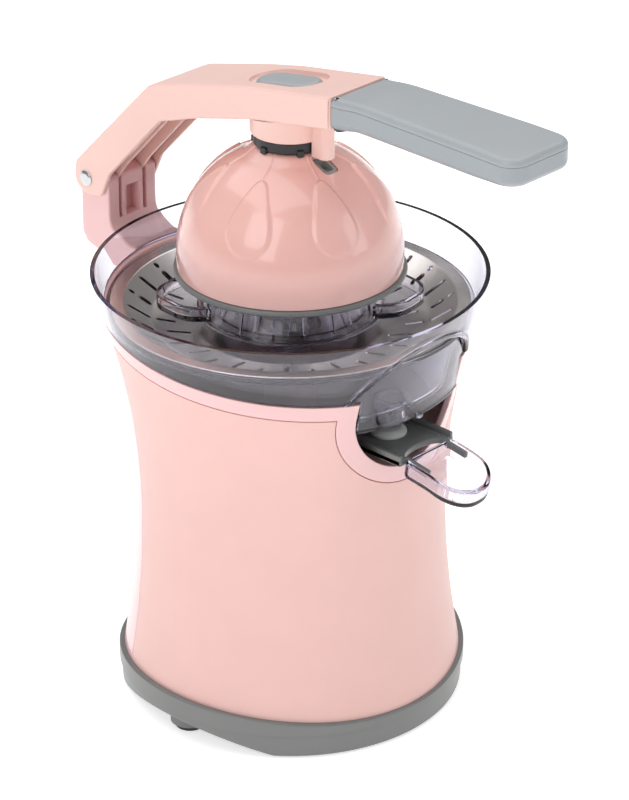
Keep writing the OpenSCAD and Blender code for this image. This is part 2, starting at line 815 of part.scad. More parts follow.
module strainer_dish() {
    z_top = ledge_z + 0.1;
    color([0.78, 0.78, 0.8]) difference() {
        rotate_extrude($fn = 180) polygon([[strainer_r, z_top], [strainer_r, z_top + strainer_t],
            [79.4, z_top + strainer_t], [66.6, z_top - 8], [45, z_top - 12.5], [strainer_hole_r, z_top - 12.5],
            [strainer_hole_r, z_top - 12.5 - strainer_t], [45.2, z_top - 12.5 - strainer_t],
            [67, z_top - 8 - strainer_t], [79.8, z_top]]);
        for (i = [0 : strainer_slots - 1]) rotate(i * 360 / strainer_slots)
            translate([68.5, -0.9, z_top - 20]) cube([9, 1.8, 30]);
        for (i = [0 : strainer_slots - 1]) rotate((i + 0.5) * 360 / strainer_slots)
            translate([50, -0.8, z_top - 30]) cube([14, 1.6, 30]);
    }
}

module reamer_cone() {
    hub_r = 9;
    color([0.86, 0.88, 0.91, 0.4]) difference() {
        union() {
            // Cone with a rounded tip
            translate([0, 0, reamer_z]) cylinder(r1 = cone_r, r2 = 7, h = cone_tip_z - 5 - reamer_z);
            translate([0, 0, cone_tip_z - 7.4]) sphere(r = 7.4);
            for (i = [0 : cone_ribs - 1]) rotate(i * 360 / cone_ribs) side_slab(2.4)
                polygon([[0, reamer_z + 3], [cone_r + 3.2, reamer_z + 3], [cone_r - 1, reamer_z + 22],
                    [6, cone_tip_z - 4], [0, cone_tip_z - 2]]);
            translate([0, 0, reamer_z]) cylinder(r = reamer_r - 3.4, h = 2);
            translate([0, 0, reamer_hub_z]) cylinder(r = hub_r, h = 8);
        }
        // Inside of the cone, open below, with webs that carry the hub
        difference() {
            translate([0, 0, reamer_z - 1]) cylinder(r1 = cone_r - 2.2, r2 = 4, h = cone_tip_z - 9 - reamer_z);
            translate([0, 0, reamer_z - 8]) cylinder(r = hub_r, h = 20);
            for (a = [0, 90]) rotate(a) translate([-cone_r, -1, reamer_z - 2]) cube([2 * cone_r, 2, 12]);
        }
        translate([0, 0, reamer_z - 8]) cylinder(d = spindle_d + 0.1, h = spindle_top_z - reamer_z + 8.2);
        translate([0, 0, reamer_z - 8]) cylinder(r = 5.5, h = spindle_top_z - 1.9 - reamer_z + 8, $fn = 6);
    }
}

module reamer_wings() {
    color([0.86, 0.88, 0.91, 0.4]) {
        difference() {
            translate([0, 0, reamer_z]) ring(reamer_r, reamer_r - 3.3, 17);
            translate([0, 0, reamer_z + 2]) for (i = [0 : 11]) rotate(i * 30) translate([reamer_r - 5, -4, 0])
                cube([2.8, 8, 13]);
        }
        for (side = [0, 180]) rotate(wing_dir + side) intersection() {
            translate([0, 0, reamer_z + 3]) difference() {
                linear_extrude(7) hull() {
                    translate([wing_r - 12, 8]) circle(r = 12);
                    translate([wing_r - 12, -8]) circle(r = 12);
                    translate([reamer_r - 3, 0]) square([1, 44], center = true);
                }
                translate([0, 0, 2]) linear_extrude(9) hull() {
                    translate([wing_r - 12, 7]) circle(r = 9.6);
                    translate([wing_r - 12, -7]) circle(r = 9.6);
                    translate([reamer_r - 3, 0]) square([1, 36], center = true);
                }
            }
            difference() {
                translate([0, 0, reamer_z]) cylinder(r = wing_r, h = 20);
                translate([0, 0, reamer_z - 1]) cylinder(r = reamer_r - 0.5, h = 30);
            }
        }
    }
}

// Drip lever -----------------------------------------------------------------------------

module lever_pin() {
    color([0.8, 0.8, 0.81]) translate([0, -lever_pin_s, lever_z - lever_t])
        tube_x(lever_pin_d / 2, lever_w + 2 * side_gap + 8);
}

module drip_lever() {
    color([0.58, 0.58, 0.58]) difference() {
        union() {
            translate([-lever_w / 2, -lever_front_s, lever_z - lever_t])
                cube([lever_w, lever_front_s - lever_pin_s, lever_t]);
            translate([0, -lever_pin_s, lever_z - lever_t]) tube_x(lever_t, lever_w);
            for (side = [-1, 1]) translate([side * (lever_w / 2 - 1) - 1, -lever_front_s, lever_z - lever_t])
                cube([2, lever_front_s - lever_pin_s - 6, lever_t + 2.2]);
            at_tongue() for (x = [-13, 13]) translate([x - 1, -lever_front_s - 14, lever_z - lever_t])
                cube([2, 16, lever_t]);
        }
        translate([0, -lever_pin_s, lever_z - lever_t]) tube_x(lever_pin_d / 2 + run_gap, 60);
        translate([0, -outlet_s, lever_z - 20]) cylinder(r = 4.5, h = 30);
    }
}

// Turns what is drawn level down by the tongue's slope, about the plate's front edge
module at_tongue() {
    translate([0, -lever_front_s, lever_z]) rotate([tongue_drop, 0, 0]) translate([0, lever_front_s, -lever_z])
        children();
}

module drip_tongue() {
    y0 = -lever_front_s - 2 * seam;
    run = tongue_s - lever_front_s - 14;
    color([0.84, 0.86, 0.9, 0.45]) at_tongue() difference() {
        translate([0, 0, lever_z - 12]) linear_extrude(12) hull() {
            translate([-17, y0 - 2]) square([34, 2]);
            translate([0, y0 - run]) circle(r = 14);
        }
        translate([0, 0, lever_z - 10]) linear_extrude(14) hull() {
            translate([-15, y0 - 4]) square([30, 2]);
            translate([0, y0 - run]) circle(r = 12);
        }
        for (x = [-13, 13]) translate([x - 1 - seam, y0 - 14, lever_z - lever_t - seam])
            cube([2 + 2 * seam, 20, 8]);
        // The tip slopes down
        translate([-40, -tongue_s, lever_z + 6]) rotate([-30, 0, 0]) translate([0, -40, -8]) cube([80, 50, 20]);
    }
}

module drip_seal() {
    color([0.9, 0.9, 0.88]) translate([0, -outlet_s, lever_z - lever_t - 1.5]) {
        cylinder(r = 4.5 - eps, h = lever_t + 1.6);
        translate([0, 0, lever_t + 1.5]) cylinder(r = 8.7, h = 3.4);
        cylinder(r = 6, h = 1.5 - eps);
    }
}

// Arm ------------------------------------------------------------------------------------

module hinge_pin() {
    color([0.72, 0.73, 0.75]) translate([0, hinge_y, hinge_z]) {
        tube_x(pin_d / 2, arm_w);
        for (side = [-1, 1]) translate([side * (arm_w / 2 + 0.6), 0, 0]) tube_x(pin_d / 2 + 1, 1.2);
    }
}

module arm_profile() {
    polygon(arm_outline);
    translate([hinge_s, hinge_z]) circle(r = lug_r);
}

module arm_channel() {
    polygon([[hinge_s - 30, hinge_z - 22], [hinge_s - 30, hinge_z + 2], [hinge_s - 8.4, hinge_z + 2],
        [hinge_s - 8.4, hinge_z + 3.6], [-76, 293.2], [-70.5, 297], [open_end_s, 307.6],
        [open_end_s, 280], [-60, 260], [-90, 222]]);
}

module arm_shell() {
    color([0.97, 0.74, 0.7]) difference() {
        union() {
            difference() {
                side_slab(arm_w) arm_profile();
                side_slab(arm_w - 2 * arm_t) arm_channel();
            }
            // Inner ribs
            for (x = [-rib_x, rib_x]) intersection() {
                side_slab(rib_t, x) arm_profile();
                translate([x - rib_t / 2, -open_end_s - 1, 0]) cube([rib_t, 300, 400]);
            }
        }
        translate([0, hinge_y, hinge_z]) tube_x(pin_d / 2 + run_gap, 80);
        // Recess round the button and its pocket
        translate([0, 0, button_top_z - 2.6]) rotate([-9.4, 0, 0]) linear_extrude(20) stadium(43, 23);
        translate([0, 0, button_pocket_z]) linear_extrude(40) stadium(36.6 + 2 * side_gap, 17 + 2 * side_gap);
        // Bore of the dome's stem, and holes for the handle's dowels
        translate([0, 0, boss_z - 1]) cylinder(r = stem_r, h = button_pocket_z - boss_z + 1.1);
        for (x = [-dowel_x, dowel_x]) translate([x, -grip_s - 1, dowel_z]) rotate([-90, 0, 0])
            cylinder(d = dowel_d, h = 14);
    }
}

module stadium(l, w) {
    hull() for (side = [-1, 1]) translate([0, side * (l - w) / 2]) circle(d = w);
}

// Side-view point one seam below the arm
function under_arm(s) = [s, lookup(s, arm_under) - seam];

module press_boss() {
    color([0.97, 0.74, 0.7]) difference() {
        intersection() {
            union() {
                translate([0, 0, boss_z]) cylinder(r = boss_r, h = 20);
                // Peg that keeps the dome from turning
                translate([-4, -27, peg_z]) cube([8, 27 - boss_r + 0.8, 30]);
            }
            side_slab(80) polygon([[-30, peg_z - 4], [30, peg_z - 4], under_arm(30),
                arm_under[1] - [0, seam], under_arm(-30)]);
        }
        translate([0, 0, boss_z - 1]) cylinder(r = stem_r, h = 30);
    }
}

module dome_collar() {
    color([0.08, 0.08, 0.08]) {
        translate([0, 0, collar_z]) ring(17, 8, boss_z - collar_z - seam);
        for (a = [0 : 60 : 300]) rotate(a) translate([16, -2, collar_z + 0.8]) cube([2.2, 4, 2]);
        translate([0, 0, stem_z]) difference() {
            cylinder(r = stem_r - eps, h = button_pocket_z - stem_z);
            translate([0, 0, -1]) cylinder(r = 6, h = button_pocket_z - stem_z - 2);
        }
        translate([0, 0, stem_z - 2.6]) ring(15, 6, 2.7);
    }
}

module dome_shell() {
    color([0.98, 0.7, 0.67]) difference() {
        union() {
            translate([0, 0, dome_z]) sphere(r = dome_r, $fn = 180);
            translate([0, 0, ring_z + ring_h]) cylinder(r = dome_r, h = dome_z - ring_z - ring_h);
        }
        translate([0, 0, dome_z]) sphere(r = dome_r - dome_t, $fn = 180);
        translate([0, 0, dome_z - 200]) cylinder(r = dome_r - dome_t, h = 200);
        translate([0, 0, dome_z - 200]) cylinder(r = 200, h = 200 - dome_z + ring_z + ring_h);
        translate([0, 0, 270]) cylinder(r = 9.2, h = 40);
        translate([0, 0, 285.4]) cylinder(r = 40, h = 40);
        translate([-4.6, -28, 270]) cube([9.2, 11, 20]);
    }
}

module dome_ring() {
    color([0.55, 0.55, 0.55]) {
        translate([0, 0, ring_z]) ring(ring_r, dome_r - dome_t - 1, ring_h);
        translate([0, 0, ring_z + ring_h - eps]) ring(dome_r - dome_t - eps, dome_r - dome_t - 1.2, 2.5);
    }
}

module dome_notch() {
    color([0.58, 0.58, 0.58]) difference() {
        translate([-4.5, -27.8, 273.5]) cube([9, 10.7, 7.6]);
        translate([0, 0, dome_z]) difference() {
            sphere(r = 200);
            sphere(r = dome_r - 0.4, $fn = 180);
        }
        translate([-2.6, -26, 277]) cube([5.2, 7, 20]);
    }
}

module handle_plan(d = 0) {
    hull() {
        translate([-arm_w / 2 + 0.4 + d, -grip_s - 1.3]) square([arm_w - 0.8 - 2 * d, 1]);
        for (side = [-1, 1]) translate([side * (grip_w / 2 - 9 - d), -grip_end + 9 + d])
            circle(r = 9, $fn = 32);
    }
}

module handle_solid(side) {
    intersection() {
        translate([0, 0, 290]) linear_extrude(60) handle_plan();
        side_slab(80) polygon(side);
    }
}

module handle_shell() {
    color([0.55, 0.57, 0.59]) difference() {
        union() {
            handle_solid(concat(pad_line, [[grip_end + 4, grip_top_z - 9.6],
                [grip_end - 10, grip_top_z - grip_h + 0.6], [grip_s + 16, grip_top_z - grip_h],
                arm_under[2]]));
            for (x = [-dowel_x, dowel_x]) translate([x, -grip_s - 1, dowel_z]) rotate([-90, 0, 0])
                cylinder(d = dowel_d - 0.1, h = 8);
        }
        // Hollow under the pad
        translate([0, 0, handle_boss_z - 0.1]) linear_extrude(30) intersection() {
            handle_plan(3.2);
            translate([-50, -grip_end + 12]) square([100, grip_end - grip_s - 18]);
        }
        for (s = handle_screw_s) translate([0, -s, 300]) cylinder(d = 3.4, h = 20);
        for (s = handle_screw_s) translate([0, -s, 300]) cylinder(d = 7, h = handle_screw_z - 300);
    }
}

module handle_pad() {
    color([0.6, 0.62, 0.63]) {
        handle_solid(concat(pad_line, [[grip_end + 4, grip_top_z - 4], [grip_end - 12, grip_top_z - 0.4],
            [grip_s + 18, grip_top_z], [grip_s, grip_top_z - 1.6]]));
        for (s = handle_screw_s) translate([0, -s, handle_boss_z]) ring(4, 1.5, 10.4);
    }
}

module handle_screws() {
    color([0.75, 0.75, 0.76]) for (s = handle_screw_s) translate([0, -s, handle_screw_z])
        screw(3 - 2 * eps, 8, 6, 1);
}

module release_button() {
    color([0.62, 0.63, 0.64]) difference() {
        intersection() {
            translate([0, 0, button_pocket_z + button_travel + 0.6]) linear_extrude(30) stadium(36.6, 17);
            side_slab(40) polygon([[-30, 300], [30, 300], [30, button_top_z + 5], [0, button_top_z],
                [-30, button_top_z - 5]]);
        }
        translate([0, 0, button_pocket_z]) cylinder(r = 4.6, h = 7.4);
    }
}

module button_spring() {
    color([0.8, 0.8, 0.81]) translate([0, 0, button_pocket_z + 0.05]) ring(4, 3, 7.2);
}

housing_shell();
front_wrap_panel();
hinge_tower();
chassis_deck();
base_ring();
bottom_plate();
rubber_feet();
base_screws();
cord_gland();
terminal_block();
motor_stator();
motor_coils();
motor_top_bracket();
motor_bottom_bracket();
motor_bushes();
motor_screws();
rotor_core();
motor_shaft();
motor_pinion();
cooling_fan();
gearbox_case();
gearbox_cover();
gearbox_screws();
idler_pin();
idler_gear();
output_gear();
spindle_bush();
spindle_seal();
drive_shaft();
switch_plunger();
plunger_spring();
micro_switch();
collector_bowl();
strainer_dish();
reamer_cone();
reamer_wings();
lever_pin();
drip_lever();
drip_tongue();
drip_seal();
hinge_pin();
arm_shell();
handle_shell();
handle_pad();
handle_screws();
press_boss();
release_button();
button_spring();
dome_collar();
dome_shell();
dome_ring();
dome_notch();
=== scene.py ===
"""Looks of an electric citrus press with a hinged lever arm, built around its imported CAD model."""

import json
import logging
import math
from collections.abc import Callable, Iterable, Sequence
from dataclasses import dataclass
from enum import Enum

import bmesh
import bpy
from bmesh.types import BMesh
from mathutils import Matrix, Vector

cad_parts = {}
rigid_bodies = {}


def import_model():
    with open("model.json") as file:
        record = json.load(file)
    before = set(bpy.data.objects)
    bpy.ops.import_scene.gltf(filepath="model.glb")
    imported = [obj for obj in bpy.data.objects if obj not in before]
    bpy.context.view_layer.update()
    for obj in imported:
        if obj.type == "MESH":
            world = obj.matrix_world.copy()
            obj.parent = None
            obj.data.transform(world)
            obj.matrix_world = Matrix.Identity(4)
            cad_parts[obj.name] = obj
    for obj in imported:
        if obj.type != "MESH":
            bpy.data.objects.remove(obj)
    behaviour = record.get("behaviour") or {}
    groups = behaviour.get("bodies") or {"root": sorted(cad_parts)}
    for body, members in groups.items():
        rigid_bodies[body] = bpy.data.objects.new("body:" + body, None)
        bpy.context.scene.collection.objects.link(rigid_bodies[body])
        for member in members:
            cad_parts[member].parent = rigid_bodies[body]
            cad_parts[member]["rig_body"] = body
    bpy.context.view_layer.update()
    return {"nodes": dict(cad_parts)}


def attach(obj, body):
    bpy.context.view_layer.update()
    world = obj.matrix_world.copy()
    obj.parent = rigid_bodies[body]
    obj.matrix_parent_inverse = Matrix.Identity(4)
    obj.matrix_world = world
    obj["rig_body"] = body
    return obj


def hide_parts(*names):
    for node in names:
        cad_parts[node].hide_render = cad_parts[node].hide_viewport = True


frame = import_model()

logging.basicConfig(level=logging.INFO, format="%(message)s")
log = logging.getLogger("press")

MM = 0.001
NEAR = 1e-6
Point = tuple[float, float]
Corner = tuple[float, float, float]
Colour = tuple[float, float, float]


class View(Enum):
    """The way a flat outline lies, and the direction its depth runs in."""

    SIDE = "outline (ahead, up), depth to the right"
    PLAN = "outline (right, back), depth up"
    FLAT = "outline (along, up), depth inwards, before a sheet is wrapped"

    def at(self, a: float, b: float, c: float) -> Vector:
        """Place of one outline point at a depth.

        Args:
            a: First outline coordinate, mm.
            b: Second outline coordinate, mm.
            c: Depth, mm.

        Returns:
            The point in metres.
        """
        if self is View.SIDE:
            return Vector((c, -a, b)) * MM
        if self is View.PLAN:
            return Vector((a, b, c)) * MM
        return Vector((a, c, b)) * MM


class Join(Enum):
    """How a second solid changes a first one."""

    ADD = "UNION"
    CUT = "DIFFERENCE"


class Make(Enum):
    """What a finish is made of, which settles its pattern."""

    MOULDED = "moulded plastic"
    CLEAR = "clear plastic"
    RUBBER = "rubber"
    BRUSHED = "brushed sheet metal"
    TURNED = "turned metal"
    STACK = "stacked laminations"
    WOUND = "wound wire"


def linear(red: float, green: float, blue: float) -> Colour:
    """Linear colour of an 8-bit screen colour.

    Args:
        red: Red, 0 to 255.
        green: Green, 0 to 255.
        blue: Blue, 0 to 255.

    Returns:
        The linear colour, 0 to 1.
    """
    low, slope, shift, power = 0.04045, 12.92, 0.055, 2.4
    parts = [v / 255 for v in (red, green, blue)]
    r, g, b = (p / slope if p < low else ((p + shift) / (1 + shift)) ** power for p in parts)
    return r, g, b


def smooth(t: float) -> float:
    """A soft step: 0 below 0, 1 above 1."""
    t = min(1.0, max(0.0, t))
    return t * t * (3 - 2 * t)


# Materials ---------------------------------------------------------------------------------


@dataclass(frozen=True)
class Finish:
    """One surface finish, and how to make its material."""

    name: str
    slot: str
    colour: Colour
    make: Make = Make.MOULDED
    roughness: float = 0.35
    coat: float = 0.0
    coat_roughness: float = 0.08
    metallic: float = 0.0
    subsurface: float = 0.0
    mottle: float = 0.03
    mottle_pitch: float = 22.0
    grain: float = 0.05
    grain_pitch: float = 0.5
    rough_spread: float = 0.04
    tint: Colour = (1.0, 1.0, 1.0)
    tint_density: float = 0.0
    ior: float = 1.49

    def material(self) -> bpy.types.Material:
        """The finish's material, made once.

        Returns:
            A procedural material that reads Object coordinates.
        """
        title = f"{self.name}_finish"
        if title in bpy.data.materials:
            return bpy.data.materials[title]
        made = bpy.data.materials.new(title)
        made.use_nodes = True
        made.diffuse_color = (*self.colour, 1.0)
        tree = made.node_tree
        skin = tree.nodes["Principled BSDF"]
        place = tree.nodes.new("ShaderNodeTexCoord")
        stretch = tree.nodes.new("ShaderNodeMapping")
        stretch.inputs["Scale"].default_value = self._stretch()
        tree.links.new(place.outputs["Object"], stretch.inputs["Vector"])
        self._set_constants(skin)
        self._link_colour(tree, place, stretch, skin)
        self._link_roughness(tree, stretch, skin)
        self._link_grain(tree, stretch, skin)
        if self.tint_density > 0:
            inside = tree.nodes.new("ShaderNodeVolumeAbsorption")
            inside.inputs["Color"].default_value = (*self.tint, 1.0)
            inside.inputs["Density"].default_value = self.tint_density
            tree.links.new(inside.outputs["Volume"], tree.nodes["Material Output"].inputs["Volume"])
        return made

    def _stretch(self) -> tuple[float, float, float]:
        """Scale of the grain's pattern along x, y and z."""
        if self.make is Make.BRUSHED:
            return 1.0, 0.04, 1.0
        if self.make is Make.TURNED:
            return 0.25, 0.25, 1.0
        return 1.0, 1.0, 1.0

    def _set_constants(self, skin: bpy.types.Node) -> None:
        """Sets every value that is the same all over the surface.

        Args:
            skin: The surface shader.
        """
        values = {
            "Metallic": self.metallic,
            "IOR": self.ior,
            "Coat Weight": self.coat,
            "Coat Roughness": self.coat_roughness,
            "Subsurface Weight": self.subsurface,
            "Transmission Weight": 1.0 if self.make is Make.CLEAR else 0.0,
            "Sheen Weight": 0.15 if self.make is Make.RUBBER else 0.0,
            "Anisotropic": 0.35 if self.make in (Make.BRUSHED, Make.TURNED) else 0.0,
        }
        for name, value in values.items():
            skin.inputs[name].default_value = value
        skin.inputs["Subsurface Radius"].default_value = (0.004, 0.0016, 0.0012)
        skin.inputs["Subsurface Scale"].default_value = 0.5

    def _link_colour(self, tree: bpy.types.NodeTree, place: bpy.types.Node,
                     stretch: bpy.types.Node, skin: bpy.types.Node) -> None:
        """Gives the colour a slow mottle, and its bands where it has them.

        Args:
            tree: The material's tree.
            place: The coordinates.
            stretch: The stretched coordinates.
            skin: The surface shader.
        """
        cloud = tree.nodes.new("ShaderNodeTexNoise")
        cloud.inputs["Scale"].default_value = 1000 / self.mottle_pitch
        cloud.inputs["Detail"].default_value = 3.0
        tree.links.new(place.outputs["Object"], cloud.inputs["Vector"])
        ramp = tree.nodes.new("ShaderNodeValToRGB")
        ramp.color_ramp.elements[0].position = 0.3
        ramp.color_ramp.elements[1].position = 0.7
        for element, gain in zip(ramp.color_ramp.elements, (1 - self.mottle, 1 + self.mottle)):
            element.color = (*(min(1.0, c * gain) for c in self.colour), 1.0)
        tree.links.new(cloud.outputs["Fac"], ramp.inputs["Fac"])
        if self.make not in (Make.STACK, Make.WOUND):
            tree.links.new(ramp.outputs["Color"], skin.inputs["Base Color"])
            return
        bands = tree.nodes.new("ShaderNodeTexWave")
        bands.bands_direction = "Z"
        bands.inputs["Scale"].default_value = 330.0 if self.make is Make.STACK else 260.0
        bands.inputs["Distortion"].default_value = 0.0 if self.make is Make.STACK else 1.2
        tree.links.new(stretch.outputs["Vector"], bands.inputs["Vector"])
        mix = tree.nodes.new("ShaderNodeMix")
        mix.data_type = "RGBA"
        mix.blend_type = "MULTIPLY"
        mix.inputs[0].default_value = 0.55
        tree.links.new(ramp.outputs["Color"], mix.inputs[6])
        tree.links.new(bands.outputs["Color"], mix.inputs[7])
        tree.links.new(mix.outputs[2], skin.inputs["Base Color"])

    def _link_roughness(self, tree: bpy.types.NodeTree, stretch: bpy.types.Node,
                        skin: bpy.types.Node) -> None:
        """Lets the roughness wander a little, as handling does.

        Args:
            tree: The material's tree.
            stretch: The stretched coordinates.
            skin: The surface shader.
        """
        cloud = tree.nodes.new("ShaderNodeTexNoise")
        cloud.inputs["Scale"].default_value = 1000 / (self.mottle_pitch * 0.6)
        cloud.inputs["Detail"].default_value = 5.0
        spread = tree.nodes.new("ShaderNodeMapRange")
        spread.inputs["To Min"].default_value = max(0.0, self.roughness - self.rough_spread)
        spread.inputs["To Max"].default_value = self.roughness + self.rough_spread
        tree.links.new(stretch.outputs["Vector"], cloud.inputs["Vector"])
        tree.links.new(cloud.outputs["Fac"], spread.inputs["Value"])
        tree.links.new(spread.outputs["Result"], skin.inputs["Roughness"])

    def _link_grain(self, tree: bpy.types.NodeTree, stretch: bpy.types.Node,
                    skin: bpy.types.Node) -> None:
        """Adds the fine grain of the mould, the brush or the lathe.

        Args:
            tree: The material's tree.
            stretch: The stretched coordinates.
            skin: The surface shader.
        """
        grain = tree.nodes.new("ShaderNodeTexNoise")
        grain.inputs["Scale"].default_value = 1000 / self.grain_pitch
        grain.inputs["Detail"].default_value = 2.0
        bump = tree.nodes.new("ShaderNodeBump")
        bump.inputs["Strength"].default_value = self.grain
        bump.inputs["Distance"].default_value = 0.0002
        tree.links.new(stretch.outputs["Vector"], grain.inputs["Vector"])
        tree.links.new(grain.outputs["Fac"], bump.inputs["Height"])
        tree.links.new(bump.outputs["Normal"], skin.inputs["Normal"])


PINK_GLOSS = Finish("pink_gloss", "pink_gloss", linear(240, 196, 196), roughness=0.26, coat=0.5,
                    subsurface=0.08, mottle=0.012, grain=0.03, rough_spread=0.03)
PINK_SATIN = Finish("pink_satin", "pink_satin", linear(238, 194, 187), roughness=0.42, coat=0.12,
                    coat_roughness=0.25, subsurface=0.06, mottle=0.015, grain=0.10, grain_pitch=0.35)
PINK_ARM = Finish("pink_arm", "pink_arm", linear(248, 208, 198), roughness=0.40, coat=0.15,
                  coat_roughness=0.2, subsurface=0.08, mottle=0.012, grain=0.07, grain_pitch=0.35)
PINK_DOME = Finish("pink_dome", "pink_dome", linear(243, 190, 181), roughness=0.22, coat=0.8,
                   coat_roughness=0.05, subsurface=0.10, mottle=0.012, grain=0.02, rough_spread=0.02)
GREY_DEEP = Finish("grey_deep", "grey_satin", linear(120, 122, 121), roughness=0.36, coat=0.15,
                   coat_roughness=0.2, mottle=0.02, grain=0.08, grain_pitch=0.35)
GREY_SATIN = Finish("grey_satin", "grey_satin", linear(150, 151, 149), roughness=0.38, coat=0.15,
                    coat_roughness=0.2, mottle=0.02, grain=0.08, grain_pitch=0.35)
GREY_INNER = Finish("grey_inner", "grey_inner", linear(118, 118, 119), roughness=0.55, mottle=0.04,
                    grain=0.2, grain_pitch=0.6)
GRIP_SHELL = Finish("grip_shell", "grip_shell", linear(160, 166, 171), roughness=0.36, coat=0.2,
                    coat_roughness=0.15, mottle=0.015, grain=0.06, grain_pitch=0.35)
GRIP_PAD = Finish("grip_pad", "grip_pad", linear(168, 173, 177), roughness=0.40, coat=0.1,
                  coat_roughness=0.25, mottle=0.015, grain=0.10, grain_pitch=0.3)
CLEAR = Finish("clear_plastic", "clear_plastic", (0.985, 0.985, 1.0), Make.CLEAR, roughness=0.015,
               mottle=0.004, grain=0.012, grain_pitch=9.0, rough_spread=0.012,
               tint=(0.30, 0.25, 0.55), tint_density=70.0)
STEEL_SHEET = Finish("steel_sheet", "steel_sheet", linear(214, 208, 206), Make.BRUSHED, roughness=0.24,
                     metallic=1.0, mottle=0.04, mottle_pitch=9.0, grain=0.05, grain_pitch=0.25)
STEEL = Finish("steel", "steel", linear(205, 206, 208), Make.TURNED, roughness=0.25, metallic=1.0,
               mottle=0.04, mottle_pitch=6.0, grain=0.08, grain_pitch=0.3)
BLACK = Finish("black_plastic", "black_plastic", linear(38, 38, 40), roughness=0.38, mottle=0.08,
               grain=0.12, grain_pitch=0.4)
RUBBER = Finish("black_rubber", "black_rubber", linear(34, 34, 35), Make.RUBBER, roughness=0.72,
                mottle=0.10, grain=0.25, grain_pitch=0.5)
SILICONE = Finish("silicone", "silicone", linear(226, 229, 226), Make.RUBBER, roughness=0.38,
                  subsurface=0.25, mottle=0.02, grain=0.05, grain_pitch=0.4)
STACK = Finish("stack_steel", "stack_steel", linear(146, 147, 150), Make.STACK, roughness=0.42,
               metallic=0.85, mottle=0.06, grain=0.1)
COPPER = Finish("copper", "copper", linear(196, 112, 62), Make.WOUND, roughness=0.34, metallic=0.9,
                mottle=0.08, grain=0.12)
ALLOY = Finish("bracket_alloy", "bracket_alloy", linear(190, 191, 193), Make.BRUSHED, roughness=0.38,
               metallic=1.0, mottle=0.05, grain=0.15)
BRONZE = Finish("bronze", "bronze", linear(178, 132, 78), Make.TURNED, roughness=0.4, metallic=1.0,
                mottle=0.08, mottle_pitch=4.0, grain=0.15)
WHITE = Finish("white_plastic", "white_plastic", linear(228, 226, 216), roughness=0.42, mottle=0.03,
               grain=0.08)

KEPT = {
    GREY_INNER: ("bottom_plate",),
    PINK_SATIN: ("chassis_deck",),
    BLACK: ("micro_switch", "cooling_fan"),
    RUBBER: ("rubber_feet", "cord_gland", "spindle_seal"),
    STACK: ("motor_stator", "rotor_core"),
    COPPER: ("motor_coils",),
    ALLOY: ("motor_top_bracket", "motor_bottom_bracket"),
    BRONZE: ("motor_bushes", "spindle_bush", "motor_pinion"),
    STEEL: ("base_screws", "motor_screws", "motor_shaft", "gearbox_screws", "idler_pin", "drive_shaft",
            "plunger_spring", "lever_pin", "handle_screws", "button_spring"),
    WHITE: ("terminal_block", "gearbox_case", "gearbox_cover", "idler_gear", "output_gear",
            "switch_plunger"),
}


# Mesh helpers ------------------------------------------------------------------------------


def rounded(corners: Iterable[Corner], steps: int = 5) -> list[Point]:
    """A closed outline whose corners are arcs.

    Args:
        corners: Each corner as (a, b, radius), mm. Radius 0 keeps it sharp.
        steps: Segments in each arc.

    Returns:
        The outline's points, mm.
    """
    ring = list(corners)
    found: list[Point] = []
    for i, (a, b, radius) in enumerate(ring):
        here = Vector((a, b))
        before, after = Vector(ring[i - 1][:2]) - here, Vector(ring[(i + 1) % len(ring)][:2]) - here
        if radius <= 0:
            found.append((a, b))
            continue
        reach_before, reach_after = before.length, after.length
        before.normalize()
        after.normalize()
        half = math.acos(max(-1.0, min(1.0, before.dot(after)))) / 2
        if half > math.radians(89):
            found.append((a, b))
            continue
        reach = min(radius / math.tan(half), 0.48 * reach_before, 0.48 * reach_after)
        radius = reach * math.tan(half)
        centre = here + (before + after).normalized() * (radius / math.sin(half))
        first, last = here + before * reach - centre, here + after * reach - centre
        start = math.atan2(first.y, first.x)
        turn = (math.atan2(last.y, last.x) - start + math.pi) % math.tau - math.pi
        for k in range(steps + 1):
            angle = start + turn * k / steps
            found.append((centre.x + radius * math.cos(angle), centre.y + radius * math.sin(angle)))
    return found


def oblong(left: float, right: float, front: float, back: float, front_round: float = 0.0,
           back_round: float = 0.0) -> list[Corner]:
    """Corners of a plan rectangle, with a radius for its front and its back pair, mm."""
    return [(left, front, front_round), (right, front, front_round),
            (right, back, back_round), (left, back, back_round)]


def stadium(length: float, width: float, steps: int = 16) -> list[Point]:
    """A plan outline with round ends, long from front to back.

    Args:
        length: Overall length, mm.
        width: Overall width, mm.
        steps: Segments in each end.

    Returns:
        The outline's points, mm.
    """
    radius, reach = width / 2, (length - width) / 2
    found = []
    for end in (1, -1):
        for k in range(steps + 1):
            angle = math.pi * k / steps + (0 if end > 0 else math.pi)
            found.append((radius * math.cos(angle), end * reach + radius * math.sin(angle)))
    return found


